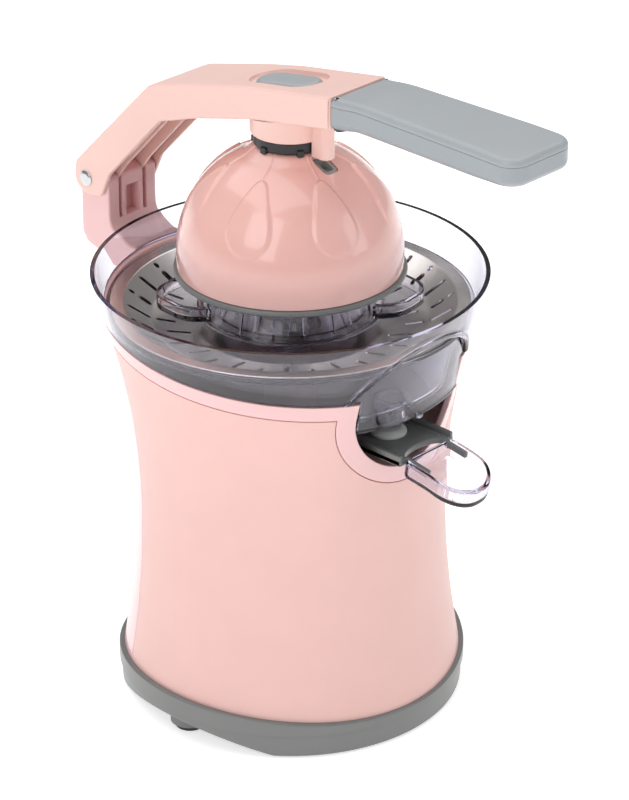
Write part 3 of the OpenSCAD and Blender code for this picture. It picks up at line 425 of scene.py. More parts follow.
def slab(outline: Sequence[Point], near: float, far: float, view: View,
         edges: Point = (0.0, 0.0), segments: int = 3, closed_round: float = 0.0) -> BMesh:
    """A flat solid with rounded rims.

    Args:
        outline: Closed outline, mm.
        near: Depth of one face, mm.
        far: Depth of the other face, mm.
        view: How the outline lies.
        edges: Radius of the rim at the near and at the far face, mm.
        segments: Segments in each rounded rim.
        closed_round: If set, half the length at which the two ends will meet, so they stay square.

    Returns:
        The solid.
    """
    bm = bmesh.new()
    face = bm.faces.new([bm.verts.new(view.at(a, b, near)) for a, b in outline])
    grown = bmesh.ops.extrude_face_region(bm, geom=[face])
    top = [g for g in grown["geom"] if isinstance(g, bmesh.types.BMVert)]
    bmesh.ops.translate(bm, verts=top, vec=view.at(0, 0, far) - view.at(0, 0, near))
    bmesh.ops.recalc_face_normals(bm, faces=bm.faces[:])
    far_set = set(top)
    limit = closed_round * MM - NEAR
    for rim, radius in ((set(bm.verts) - far_set, edges[0]), (far_set, edges[1])):
        if radius <= 0:
            continue
        chosen = [e for e in bm.edges if e.verts[0] in rim and e.verts[1] in rim
                  and not (closed_round and all(abs(v.co.x) > limit for v in e.verts))]
        bmesh.ops.bevel(bm, geom=chosen, offset=radius * MM, affect="EDGES", segments=segments,
                        profile=0.5, material=-1)
    return bm


def spun(profile: Sequence[Point], steps: int = 192) -> BMesh:
    """A solid of revolution about the upright axis.

    Args:
        profile: Closed outline as (radius, height), mm.
        steps: Segments round the axis.

    Returns:
        The solid.
    """
    bm = bmesh.new()
    verts = [bm.verts.new((r * MM, 0, z * MM)) for r, z in profile]
    edges = [bm.edges.new((verts[i - 1], verts[i])) for i in range(len(verts))
             if max(profile[i - 1][0], profile[i][0]) > 1e-5]
    bmesh.ops.spin(bm, geom=verts + edges, cent=(0, 0, 0), axis=(0, 0, 1), angle=math.tau,
                   steps=steps, use_merge=True)
    bmesh.ops.remove_doubles(bm, verts=bm.verts[:], dist=NEAR)
    bmesh.ops.recalc_face_normals(bm, faces=bm.faces[:])
    return bm


def joined(base: BMesh, other: BMesh, how: Join) -> BMesh:
    """Two closed solids made into one.

    Args:
        base: The solid that is changed. It is freed.
        other: The solid that is added or cut away. It is freed.
        how: Add or cut.

    Returns:
        The new solid.
    """
    scraps = []
    for part in (base, other):
        mesh = bpy.data.meshes.new("scrap")
        part.to_mesh(mesh)
        part.free()
        thing = bpy.data.objects.new("scrap", mesh)
        bpy.context.scene.collection.objects.link(thing)
        scraps.append(thing)
    change = scraps[0].modifiers.new("change", "BOOLEAN")
    change.operation = how.value
    change.solver = "EXACT"
    change.object = scraps[1]
    seen = scraps[0].evaluated_get(bpy.context.evaluated_depsgraph_get())
    bm = bmesh.new()
    bm.from_mesh(seen.to_mesh())
    seen.to_mesh_clear()
    for thing in scraps:
        mesh = thing.data
        bpy.data.objects.remove(thing)
        bpy.data.meshes.remove(mesh)
    bmesh.ops.remove_doubles(bm, verts=bm.verts[:], dist=NEAR)
    bmesh.ops.dissolve_degenerate(bm, edges=bm.edges[:], dist=NEAR / 2)
    return bm


def beside(*parts: BMesh) -> BMesh:
    """Several solids kept apart in one mesh.

    Args:
        parts: The solids. They are freed.

    Returns:
        One mesh that holds them all.
    """
    bm = bmesh.new()
    for part in parts:
        mesh = bpy.data.meshes.new("scrap")
        part.to_mesh(mesh)
        part.free()
        bm.from_mesh(mesh)
        bpy.data.meshes.remove(mesh)
    return bm


def moved(bm: BMesh, matrix: Matrix) -> BMesh:
    """The same solid, moved.

    Args:
        bm: The solid.
        matrix: The move, in metres.

    Returns:
        The solid.
    """
    bmesh.ops.transform(bm, matrix=matrix, verts=bm.verts[:])
    return bm


def shift(x: float = 0.0, y: float = 0.0, z: float = 0.0) -> Matrix:
    """A move by millimetres."""
    return Matrix.Translation(Vector((x, y, z)) * MM)


def turn(degrees: float, axis: str = "Z") -> Matrix:
    """A turn about one axis through the origin."""
    return Matrix.Rotation(math.radians(degrees), 4, axis)


def sliced(bm: BMesh, axis: int, places: Iterable[float]) -> BMesh:
    """The solid with extra cuts, so that it can bend.

    Args:
        bm: The solid.
        axis: 0, 1 or 2 for x, y or z.
        places: Where to cut, mm.

    Returns:
        The solid.
    """
    normal = Vector((0, 0, 0))
    normal[axis] = 1
    for place in places:
        bmesh.ops.bisect_plane(bm, geom=bm.verts[:] + bm.edges[:] + bm.faces[:],
                               plane_co=normal * place * MM, plane_no=normal)
    return bm


def spread(low: float, high: float, step: float) -> list[float]:
    """Evenly spaced places strictly between two limits, about a step apart."""
    count = max(1, round((high - low) / step))
    return [low + (high - low) * i / count for i in range(1, count)]


def rod(path: Sequence[Vector], radius: float, closed: bool = False, sides: int = 4) -> BMesh:
    """A round bead along a path.

    Args:
        path: Points of the middle line, m.
        radius: Radius of the bead, mm.
        closed: Whether the path meets itself.
        sides: Resolution of the bead's section.

    Returns:
        The bead.
    """
    line = bpy.data.curves.new("scrap", "CURVE")
    line.dimensions = "3D"
    line.bevel_depth = radius * MM
    line.bevel_resolution = sides
    line.use_fill_caps = not closed
    spline = line.splines.new("POLY")
    spline.points.add(len(path) - 1)
    for point, place in zip(spline.points, path):
        point.co = (*place, 1.0)
    spline.use_cyclic_u = closed
    thing = bpy.data.objects.new("scrap", line)
    bpy.context.scene.collection.objects.link(thing)
    seen = thing.evaluated_get(bpy.context.evaluated_depsgraph_get())
    bm = bmesh.new()
    bm.from_mesh(seen.to_mesh())
    seen.to_mesh_clear()
    bpy.data.objects.remove(thing)
    bpy.data.curves.remove(line)
    bmesh.ops.remove_doubles(bm, verts=bm.verts[:], dist=NEAR)
    bmesh.ops.recalc_face_normals(bm, faces=bm.faces[:])
    return bm


def dress(bm: BMesh, name: str, finish: Finish, nodes: Sequence[str], sharp: float = 32.0,
          rim: float = 0.0) -> bpy.types.Object:
    """Turns a finished solid into a piece of the press.

    Args:
        bm: The solid, in metres. It is freed.
        name: The piece's name.
        finish: Its finish.
        nodes: The CAD nodes that it stands for. It rides on the first one's body.
        sharp: Angle above which an edge stays crisp, degrees.
        rim: Radius of a last small bevel on crisp edges, mm, or 0.

    Returns:
        The piece.
    """
    limit = math.radians(sharp)
    for face in bm.faces:
        face.smooth = True
    for edge in bm.edges:
        edge.smooth = len(edge.link_faces) != 2 or edge.calc_face_angle(0.0) < limit
    mesh = bpy.data.meshes.new(name)
    bm.to_mesh(mesh)
    bm.free()
    mesh.materials.append(finish.material())
    piece = bpy.data.objects.new(name, mesh)
    bpy.context.scene.collection.objects.link(piece)
    if rim > 0:
        bevel = piece.modifiers.new("rims", "BEVEL")
        bevel.width = rim * MM
        bevel.segments = 2
        bevel.limit_method = "ANGLE"
        bevel.angle_limit = limit
        bevel.miter_outer = "MITER_ARC"
    even = piece.modifiers.new("even", "WEIGHTED_NORMAL")
    even.keep_sharp = True
    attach(piece, frame["nodes"][nodes[0]]["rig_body"])
    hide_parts(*nodes)
    log.info("%s: %d faces, stands for %s", name, len(mesh.polygons), ", ".join(nodes))
    return piece


# The body's line ---------------------------------------------------------------------------


@dataclass(frozen=True)
class BodyLine:
    """The outer line that housing and bowl share, and the two edges that cut it. All mm."""

    waist_r: float = 75.5
    waist_z: float = 105.0
    flare_r: float = 330.0
    foot_curve_r: float = 470.0
    cone_z: float = 187.5
    rim_r: float = 95.0
    rim_z: float = 221.0
    joint_tilt: float = 6.5
    joint_z: float = 197.0
    base_r: float = 85.8
    base_h: float = 17.0
    base_rise: float = 6.0
    per_degree: float = 1.325

    def _arc(self, z: float) -> float:
        """Radius on the two curves, above and below the waist."""
        bend = self.flare_r if z > self.waist_z else self.foot_curve_r
        return self.waist_r + bend - math.sqrt(bend ** 2 - (z - self.waist_z) ** 2)

    def radius(self, z: float) -> float:
        """Outer radius at a height.

        Args:
            z: Height, mm.

        Returns:
            The radius, mm.
        """
        if z < self.cone_z:
            return self._arc(z)
        start = self._arc(self.cone_z)
        return start + (z - self.cone_z) * (self.rim_r - start) / (self.rim_z - self.cone_z)

    def joint(self, degrees: float) -> float:
        """Height of the joint between housing and bowl, at an angle from the front."""
        z = self.joint_z
        for _ in range(4):
            z = self.joint_z - (self.radius(z) * math.cos(math.radians(degrees))
                                * math.tan(math.radians(self.joint_tilt)))
        return z

    def hem(self, degrees: float, radius: float) -> float:
        """Height of the base's curved upper edge, at an angle from the front."""
        bend = self.base_r ** 2 / (2 * self.base_rise)
        x = radius * math.sin(math.radians(degrees))
        return self.base_h + bend - math.sqrt(bend ** 2 - x ** 2)

    def flat(self, degrees: float, z: float) -> Point:
        """Place on the unrolled skin of an angle and a height."""
        return degrees * self.per_degree, z

    def ahead(self, x: float, z: float) -> Point:
        """Place on the unrolled skin of a point seen from the front."""
        return self.flat(math.degrees(math.asin(x / self.radius(z))), z)

    def wrapped(self, bm: BMesh, radius: Callable[[float], float], rows: Iterable[float],
                half: float = 180.0, column: float = 2.5) -> BMesh:
        """Bends a flat sheet round the upright axis.

        Args:
            bm: The sheet, along x, with its depth along y.
            radius: Outer radius at a height, mm.
            rows: Heights of the extra cuts, mm.
            half: Half the angle that the sheet covers.
            column: Angle between the upright cuts, degrees.

        Returns:
            The bent sheet.
        """
        sliced(bm, 0, [p * self.per_degree for p in spread(-half, half, column)])
        sliced(bm, 2, rows)
        if half == 180:
            end = half * self.per_degree * MM - NEAR
            caps = [f for f in bm.faces if all(v.co.x > end for v in f.verts)
                    or all(v.co.x < -end for v in f.verts)]
            bmesh.ops.delete(bm, geom=caps, context="FACES")
        for vert in bm.verts:
            u, d, z = vert.co / MM
            angle = math.radians(u / self.per_degree)
            r = radius(z) - d
            vert.co = Vector((r * math.sin(angle), -r * math.cos(angle), z)) * MM
        bmesh.ops.remove_doubles(bm, verts=bm.verts[:], dist=NEAR)
        bmesh.ops.recalc_face_normals(bm, faces=bm.faces[:])
        return bm


LINE = BodyLine()


@dataclass(frozen=True)
class Spout:
    """The U-shaped opening in front, the arch above it and the line of each. All mm."""

    u_r: float = 35.2
    u_z: float = 145.0
    band: float = 8.5
    arch_r: float = 45.0
    arch_z: float = 167.0

    def u_path(self, grow: float, top: Callable[[float], float], steps: int = 40) -> list[Point]:
        """The U from its upper left end round to its upper right end, unrolled.

        Args:
            grow: How far outside the opening's edge the path runs.
            top: Height where the path ends, at an angle from the front.
            steps: Segments in its round part.

        Returns:
            Points on the unrolled skin, mm.
        """
        r, middle = self.u_r + grow, self.u_z + self.u_r
        turned = [(r * math.cos(a), middle + r * math.sin(a))
                  for a in (math.pi + math.pi * k / steps for k in range(steps + 1))]
        path = [LINE.ahead(x, z) for x, z in turned]
        side = math.degrees(math.asin(r / LINE.radius(top(25.0))))
        return [LINE.flat(-side, top(side)), *path, LINE.flat(side, top(side))]

    def arch_path(self, grow: float, low: Callable[[float], float], steps: int = 48) -> list[Point]:
        """The arch from its lower left end over to its lower right end, unrolled.

        Args:
            grow: How far outside the arch's edge the path runs.
            low: Height of the wall's lower edge, at an angle from the front.
            steps: Segments in the arch.

        Returns:
            Points on the unrolled skin, mm.
        """
        r = self.arch_r + grow
        start = math.asin((low(27.0) - self.arch_z) / r)
        angles = [math.pi - start - (math.pi - 2 * start) * k / steps for k in range(steps + 1)]
        return [LINE.ahead(r * math.cos(a), self.arch_z + r * math.sin(a)) for a in angles]


SPOUT = Spout()


# Housing -----------------------------------------------------------------------------------


@dataclass
class Housing:
    """The pink housing, its wrap panel and the tower at its rear."""

    wall: float = 3.2
    wrap: float = 1.2
    wrap_half: float = 118.0
    top_band: float = 8.05
    seam: float = 0.3
    drop: float = 2.0
    step: float = 3.0
    hinge_y: float = 120.5
    hinge_z: float = 237.5
    tower_w: float = 32.4
    rib_x: float = 8.1
    slot_w: float = 2.6

    def _hem(self, first: float, last: float, lift: float = 0.0) -> list[Point]:
        """The lower edge between two angles, unrolled."""
        count = max(1, round(abs(last - first) / self.step))
        angles = [first + (last - first) * i / count for i in range(count + 1)]
        return [LINE.flat(a, LINE.hem(a, LINE.radius(LINE.base_h)) - self.drop + lift) for a in angles]

    def _below_joint(self, first: float, last: float, down: float = 0.0) -> list[Point]:
        """A line under the joint between two angles, unrolled."""
        count = max(1, round(abs(last - first) / self.step))
        angles = [first + (last - first) * i / count for i in range(count + 1)]
        return [LINE.flat(a, LINE.joint(a) - down) for a in angles]

    def _rows(self) -> list[float]:
        """Heights of the cuts that let a sheet follow the body's line."""
        return spread(12, 208, 5.0)

    def build_shell(self) -> BMesh:
        """The housing: an inner wall, and an outer skin that stops at the wrap panel."""
        opening = SPOUT.u_path(0, LINE.joint)
        side = opening[-1][0] / LINE.per_degree
        inner = slab([*self._hem(-180, 180), *self._below_joint(180, side)[:-1], *opening[::-1],
                      *self._below_joint(-side, -180)[1:]],
                     self.wrap + 0.04, self.wall, View.FLAT, edges=(0.0, 0.9), closed_round=180 * LINE.per_degree)
        band = SPOUT.u_path(SPOUT.band, lambda a: LINE.joint(a) - self.top_band)
        band_side = band[-1][0] / LINE.per_degree
        edge = self.wrap_half
        outer = slab([*self._hem(-180, -edge),
                      *self._below_joint(-edge, -band_side, self.top_band)[:-1],
                      *band, *self._below_joint(band_side, edge, self.top_band)[1:],
                      *self._hem(edge, 180), *self._below_joint(180, side)[:-1], *opening[::-1],
                      *self._below_joint(-side, -180)[1:]],
                     0.0, self.wrap + 0.06, View.FLAT, edges=(0.55, 0.0), closed_round=180 * LINE.per_degree)
        return beside(*(LINE.wrapped(part, LINE.radius, self._rows()) for part in (inner, outer)))

    def build_panel(self) -> BMesh:
        """The wrap panel, a seam clear of the skin round it."""
        band = SPOUT.u_path(SPOUT.band + self.seam, lambda a: LINE.joint(a) - self.top_band - self.seam)
        side = band[-1][0] / LINE.per_degree
        edge = self.wrap_half - self.seam / LINE.per_degree
        down = self.top_band + self.seam
        sheet = slab([*self._hem(-edge, edge, 0.2), *self._below_joint(edge, side, down)[:-1],
                      *band[::-1], *self._below_joint(-side, -edge, down)[1:]],
                     0.02, self.wrap - 0.05, View.FLAT, edges=(0.4, 0.0))
        return LINE.wrapped(sheet, LINE.radius, self._rows(), half=self.wrap_half + 1)

    def build_tower(self) -> BMesh:
        """The tower that carries the arm, with its rib slots and its pocket."""
        s, z = -self.hinge_y, self.hinge_z
        side = rounded([(-70, 150, 0), (-86, 172, 8), (s + 4, 199.5, 5), (s - 3.5, 201.5, 3),
                        (s - 7, 207, 5), (s - 7, z + 2, 6), (s - 3.5, z + 7.0, 4), (s + 2, z + 7.4, 4),
                        (s + 8, z + 4.6, 4), (s + 13, z + 2, 2.5), (s + 13, 214, 14),
                        (s + 24, 208.3, 9), (-80, 208.2, 0), (-70, 200, 0)], 6)
        bm = slab(side, -self.tower_w / 2, self.tower_w / 2, View.SIDE, edges=(1.3, 1.3))
        top = LINE.joint(180)
        body = [(0, 120), *((LINE.radius(h) - self.wall + 0.8, h) for h in spread(120, top, 6)),
                (LINE.radius(top) - self.wall + 0.8, top + 0.3), (LINE.radius(top) + 0.5, top + 0.3),
                (LINE.radius(LINE.rim_z + 2) + 0.5, LINE.rim_z + 2), (0, LINE.rim_z + 2)]
        bm = joined(bm, spun(body, 180), Join.CUT)
        for x in (-self.rib_x, self.rib_x):
            slot = [(s + 7, z - 20), (s + 30, z - 20), (s + 30, z + 20), (s - 12, z + 20),
                    (s - 12, z + 9), (s + 7, z + 4)]
            cut = slab(slot, x - self.slot_w / 2, x + self.slot_w / 2, View.SIDE)
            bm = joined(bm, cut, Join.CUT)
        pocket = slab(rounded([(-4.6, self.hinge_y - 15, 0), (4.6, self.hinge_y - 15, 0),
                               (4.6, self.hinge_y - 7, 0), (-4.6, self.hinge_y - 7, 0)]), 217.5, 233,
                      View.PLAN)
        return joined(bm, pocket, Join.CUT)

    def dress(self) -> None:
        """Builds the housing's pieces and gives them their finishes."""
        dress(self.build_shell(), "housing", PINK_GLOSS, ["housing_shell"])
        dress(self.build_panel(), "wrap_panel", PINK_SATIN, ["front_wrap_panel"])
        dress(self.build_tower(), "tower", PINK_GLOSS, ["hinge_tower"], rim=0.35)


@dataclass
class Base:
    """The grey foot ring under the housing."""

    foot_r: float = 84.4
    lip: float = 0.9
    wall: float = 3.0
    gap: float = 1.2
    arch_h: float = 10.0
    arch_half: float = 55.0
    lip_z: float = 12.6

    def _radius(self, z: float) -> float:
        """Outer radius at a height: a leaning skirt, a small groove, then the lip."""
        if z <= self.lip_z - 1:
            lean = (z - self.gap) / (self.lip_z - 1 - self.gap)
            return self.foot_r + (LINE.base_r - self.lip - self.foot_r) * lean
        if z <= self.lip_z:
            return LINE.base_r - self.lip
        return LINE.base_r - self.lip * (1 - smooth((z - self.lip_z) / 0.6))

    def _under(self, degrees: float) -> float:
        """Height of the lower edge, which rises in an arch under each side."""
        bend = (self.arch_half ** 2 + self.arch_h ** 2) / (2 * self.arch_h)
        y = self.foot_r * math.cos(math.radians(degrees))
        if abs(y) >= self.arch_half:
            return self.gap
        return max(self.gap, self.arch_h - bend + math.sqrt(bend ** 2 - y ** 2))

    def build(self) -> BMesh:
        """The ring, with its lip, its saddle-shaped top and the arches under its sides."""
        angles = [a * 2.0 for a in range(-90, 91)]
        under = [LINE.flat(a, self._under(a)) for a in angles]
        over = [LINE.flat(a, LINE.hem(a, LINE.base_r)) for a in reversed(angles)]
        sheet = slab([*under, *over], 0.0, self.wall, View.FLAT, edges=(0.9, 0.5),
                     closed_round=180 * LINE.per_degree)
        rows = [4, 8, self.lip_z - 1.02, self.lip_z, self.lip_z + 0.3, self.lip_z + 0.6, 15, 18]
        wall = LINE.wrapped(sheet, self._radius, rows)
        reach = self.foot_r - self.wall + 0.2
        web = spun(rounded([(reach, 11.5, 0), (reach, 14.5, 0), (62.0, 14.5, 0.4), (62.0, 11.5, 0.4)]))
        return beside(wall, web)

    def dress(self) -> None:
        """Builds the ring and gives it its finish."""
        dress(self.build(), "base", GREY_DEEP, ["base_ring"])


# Bowl, strainer and reamer -----------------------------------------------------------------


def circle(radius: float, x: float = 0.0, y: float = 0.0, steps: int = 48) -> list[Point]:
    """Points of a circle, mm."""
    return [(x + radius * math.cos(math.tau * k / steps), y + radius * math.sin(math.tau * k / steps))
            for k in range(steps)]


@dataclass
class Bowl:
    """The clear bowl: outer wall with its arch, ledge, inner bowl, outlet and front apron."""

    wall: float = 2.2
    seam: float = 0.3
    ledge_z: float = 205.0
    inner_top: float = 84.6
    inner_low: float = 78.4
    floor_z: float = 174.0
    hub_r: float = 8.4
    hub_h: float = 18.0
    outlet_s: float = 64.0
    outlet_r: float = 6.0
    outlet_z: float = 162.6
    apron_z: float = 172.0
    apron_r: float = 83.0

    def _low(self, degrees: float) -> float:
        """Height of the outer wall's lower edge, at an angle from the front."""
        return LINE.joint(degrees) + self.seam

    def build_wall(self) -> BMesh:
        """The outer wall, open under the arch, with a raised bead round it."""
        arch = SPOUT.arch_path(0, self._low)
        side = arch[-1][0] / LINE.per_degree
        left = [LINE.flat(a, self._low(a)) for a in (-180, *spread(-180, -side, 3))]
        right = [LINE.flat(a, self._low(a)) for a in (*spread(side, 180, 3), 180)]
        wall = slab([*left, *arch, *right, LINE.flat(180, LINE.rim_z), LINE.flat(-180, LINE.rim_z)],
                    0.0, self.wall, View.FLAT, edges=(0.9, 0.9), closed_round=180 * LINE.per_degree)
        bead = slab([*SPOUT.arch_path(2.6, self._low), *SPOUT.arch_path(-0.4, self._low)[::-1]],
                    -0.9, self.wall + 0.1, View.FLAT, edges=(1.0, 0.6))
        rows = spread(186, LINE.rim_z, 3)
        return LINE.wrapped(joined(wall, bead, Join.ADD), LINE.radius, rows)

    def build_inside(self) -> BMesh:
        """Ledge, inner bowl, floor, chimney and outlet, turned in one."""
        reach = LINE.radius(self.ledge_z - self.wall) - self.wall - 0.08
        lean = (self.inner_top - self.inner_low) / (self.ledge_z - self.floor_z)
        under = self.inner_top - lean * self.wall
        bm = spun(rounded([
            (self.hub_r, self.floor_z, 0.3), (self.inner_low, self.floor_z, 3.0),
            (under, self.ledge_z - self.wall, 0.6), (reach, self.ledge_z - self.wall, 0.3),
            (reach, self.ledge_z, 0.3), (self.inner_top - self.wall, self.ledge_z, 0.9),
            (self.inner_low - self.wall, self.floor_z + self.wall, 2.6),
            (self.hub_r + 2.6, self.floor_z + self.wall, 1.6),
            (self.hub_r + 2.6, self.floor_z + self.hub_h, 0.6),
            (self.hub_r, self.floor_z + self.hub_h, 0.6)]), 160)
        tube = slab(circle(self.outlet_r + 1.8, 0, -self.outlet_s), self.outlet_z, self.floor_z + 0.5,
                    View.PLAN, edges=(0.4, 0))
        bore = slab(circle(self.outlet_r, 0, -self.outlet_s), self.outlet_z - 2, self.floor_z + 4,
                    View.PLAN)
        return joined(joined(bm, tube, Join.ADD), bore, Join.CUT)

    def _apron_radius(self, z: float) -> float:
        """Outer radius of the apron at a height."""
        top = LINE.radius(self.ledge_z) - 3
        return self.apron_r + (z - self.apron_z) * (top - self.apron_r) / (self.ledge_z - self.apron_z)

    def build_apron(self) -> BMesh:
        """The bowed apron behind the opening, with its thick lower lip and a small nub."""
        half = SPOUT.u_r - 0.6
        arch = SPOUT.arch_r - 0.7
        knee = LINE.joint(25) + 0.5
        climb = [(arch * math.cos(a), SPOUT.arch_z + arch * math.sin(a))
                 for a in (math.asin((knee - SPOUT.arch_z) / arch) * (1 - t)
                           + math.asin((self.ledge_z - SPOUT.arch_z) / arch) * t
                           for t in (k / 10 for k in range(11)))]
        right = [(half, self.apron_z), (half, knee), *climb]
        seen = [*right, *((-x, z) for x, z in reversed(right))]
        flat = [LINE.flat(math.degrees(math.asin(x / self._apron_radius(z))), z) for x, z in seen]
        sheet = slab(flat, 0.0, self.wall, View.FLAT, edges=(0.9, 0.9))
        bent = LINE.wrapped(sheet, self._apron_radius, spread(self.apron_z, self.ledge_z, 3), half=40,
                            column=2.0)
        r = self._apron_radius(self.apron_z) - 0.9
        reach = math.degrees(math.asin((half - 0.8) / r))
        lip = [Vector((r * math.sin(math.radians(a)), -r * math.cos(math.radians(a)),
                       self.apron_z + 0.4)) * MM for a in (-reach, *spread(-reach, reach, 2), reach)]
        nub = spun(rounded([(0, self.apron_z - 1.6, 0), (2.4, self.apron_z - 1.6, 1.0),
                            (2.4, self.apron_z + 1.2, 1.0), (0, self.apron_z + 1.2, 0)]), 24)
        return beside(bent, rod(lip, 1.25), moved(nub, shift(y=-r - 0.2)))

    def dress(self) -> None:
        """Builds the bowl and gives it its finish."""
        parts = beside(self.build_wall(), self.build_inside(), self.build_apron())
        dress(parts, "bowl", CLEAR, ["collector_bowl"])


@dataclass
class Strainer:
    """The pierced steel dish."""

    rim_r: float = 86.0
    top_z: float = 205.1
    sheet: float = 0.8
    hole_r: float = 14.5
    slots: int = 30

    def build_dish(self) -> BMesh:
        """The dish: a flat polished rim, a sloping band and a flat middle."""
        z, t = self.top_z, self.sheet
        upper = [(self.rim_r, z + t, 0.35), (79.6, z + t, 1.6), (66.6, z - 8, 8), (45.0, z - 12.5, 12),
                 (self.hole_r, z - 12.5, 0.3)]
        lower = [(self.hole_r, z - 12.5 - t, 0.3), (45.2, z - 12.5 - t, 12), (67.0, z - 8 - t, 8),
                 (79.8, z, 1.0), (self.rim_r, z, 0.35)]
        return spun(rounded([*upper, *lower], 8), 240)

    def build_slots(self) -> BMesh:
        """Everything that is punched out of the dish."""
        cuts = []
        for i in range(self.slots):
            round_ = turn(i * 360 / self.slots)
            spots = [(72.2, 11.0, 2.4)] if i % 2 else [(76.8, 3.0, 2.5), (70.4, 6.4, 3.2)]
            spots.append((59.5, 9.5, 2.3) if i % 2 else (55.0, 12.5, 2.2))
            for reach, length, width in spots:
                hole = slab(stadium(length, width, 6), self.top_z - 20, self.top_z + 4, View.PLAN)
                cuts.append(moved(hole, round_ @ shift(y=-reach)))
        return beside(*cuts)

    def dress(self) -> None:
        """Builds the dish and gives it its finish."""
        dress(joined(self.build_dish(), self.build_slots(), Join.CUT), "strainer", STEEL_SHEET,
              ["strainer_dish"])


@dataclass
class Reamer:
    """The clear reamer: ribbed cone, drum and the two sweeping wings."""

    foot_z: float = 200.0
    cone_r: float = 36.0
    tip_z: float = 262.0
    wall: float = 2.2
    ribs: int = 10
    drum_r: float = 44.5
    drum_h: float = 17.0
    darts: int = 12
    wing_r: float = 63.8
    wing_dir: float = -44.0

    def build_cone(self) -> BMesh:
        """The cone with its ribs, hollow from below, and its hub."""
        z, tip = self.foot_z, self.tip_z
        bm = spun(rounded([(0, z + 0.2, 0), (41.0, z + 0.2, 0.4), (41.0, z + 2, 0.6),
                           (self.cone_r, z + 2.2, 1.5), (7.4, tip - 6, 6.5), (3.2, tip - 0.4, 3.0),
                           (0, tip, 0)], 6), 160)
        rib = [(self.cone_r - 5, z + 3, 0), (self.cone_r + 3.2, z + 3, 1.2),
               (self.cone_r - 1, z + 22, 18), (9.0, tip - 9, 3), (4.8, tip - 12, 0)]
        fins = [moved(slab(rounded(rib, 6), -1.1, 1.1, View.SIDE, edges=(0.7, 0.7)),
                      turn(i * 360 / self.ribs)) for i in range(self.ribs)]
        bm = joined(bm, beside(*fins), Join.ADD)
        hollow = spun([(9.6, z - 1), (self.cone_r - self.wall - 1, z - 1), (5.0, tip - 12),
                       (0, tip - 10), (0, z + 8), (9.6, z + 8)], 96)
        bm = joined(bm, hollow, Join.CUT)
        hub = spun(rounded([(4.2, z - 4, 0.2), (9.0, z - 4, 0.6), (9.0, z + 9, 0),
                            (4.2, z + 9, 0)]), 64)
        return beside(bm, hub)

    def build_drum(self) -> BMesh:
        """The drum with its darts, and a wing at each side."""
        z, r = self.foot_z, self.drum_r
        drum = spun(rounded([(r - 3.0, z, 0.3), (r - 0.9, z, 0.3), (r, z + 0.9, 0.5), (r, z + 2, 0.3),
                             (r - 0.7, z + 2.6, 0.3), (r - 0.7, z + self.drum_h, 0.6),
                             (r - 3.0, z + self.drum_h, 0.6)]), 192)
        for i in range(self.darts):
            dart = slab([(-1.9, z + self.drum_h - 0.6), (1.9, z + self.drum_h - 0.6), (0.35, z + 4),
                         (-0.35, z + 4)], -r - 0.35, -r + 1.6, View.FLAT, edges=(0.45, 0))
            drum = joined(drum, moved(dart, turn(i * 360 / self.darts + 12)), Join.ADD)
        wings = []
        for side in (0, 180):
            outer = [(34, -22, 0), (52, -20.5, 16), (self.wing_r, -5, 12), (self.wing_r, 5, 12),
                     (52, 20.5, 16), (34, 22, 0)]
            inner = [(30, -19.6, 0), (50.8, -18.1, 14), (self.wing_r - 2.4, -4, 10),
                     (self.wing_r - 2.4, 4, 10), (50.8, 18.1, 14), (30, 19.6, 0)]
            wing = slab(rounded(outer, 8), z + 3, z + 10, View.PLAN, edges=(0.8, 0.8))
            room = slab(rounded(inner, 8), z + 5, z + 12, View.PLAN, edges=(0.8, 0))
            core = spun([(0, z), (r - 0.75, z), (r - 0.75, z + 14), (0, z + 14)], 96)
            wing = joined(joined(wing, room, Join.CUT), core, Join.CUT)
            wings.append(moved(wing, turn(self.wing_dir + side)))
        return beside(drum, *wings)

    def dress(self) -> None:
        """Builds the reamer and gives it its finish."""
        dress(self.build_cone(), "reamer_cone_clear", CLEAR, ["reamer_cone"])
        dress(self.build_drum(), "reamer_drum", CLEAR, ["reamer_wings"])


# Arm ---------------------------------------------------------------------------------------


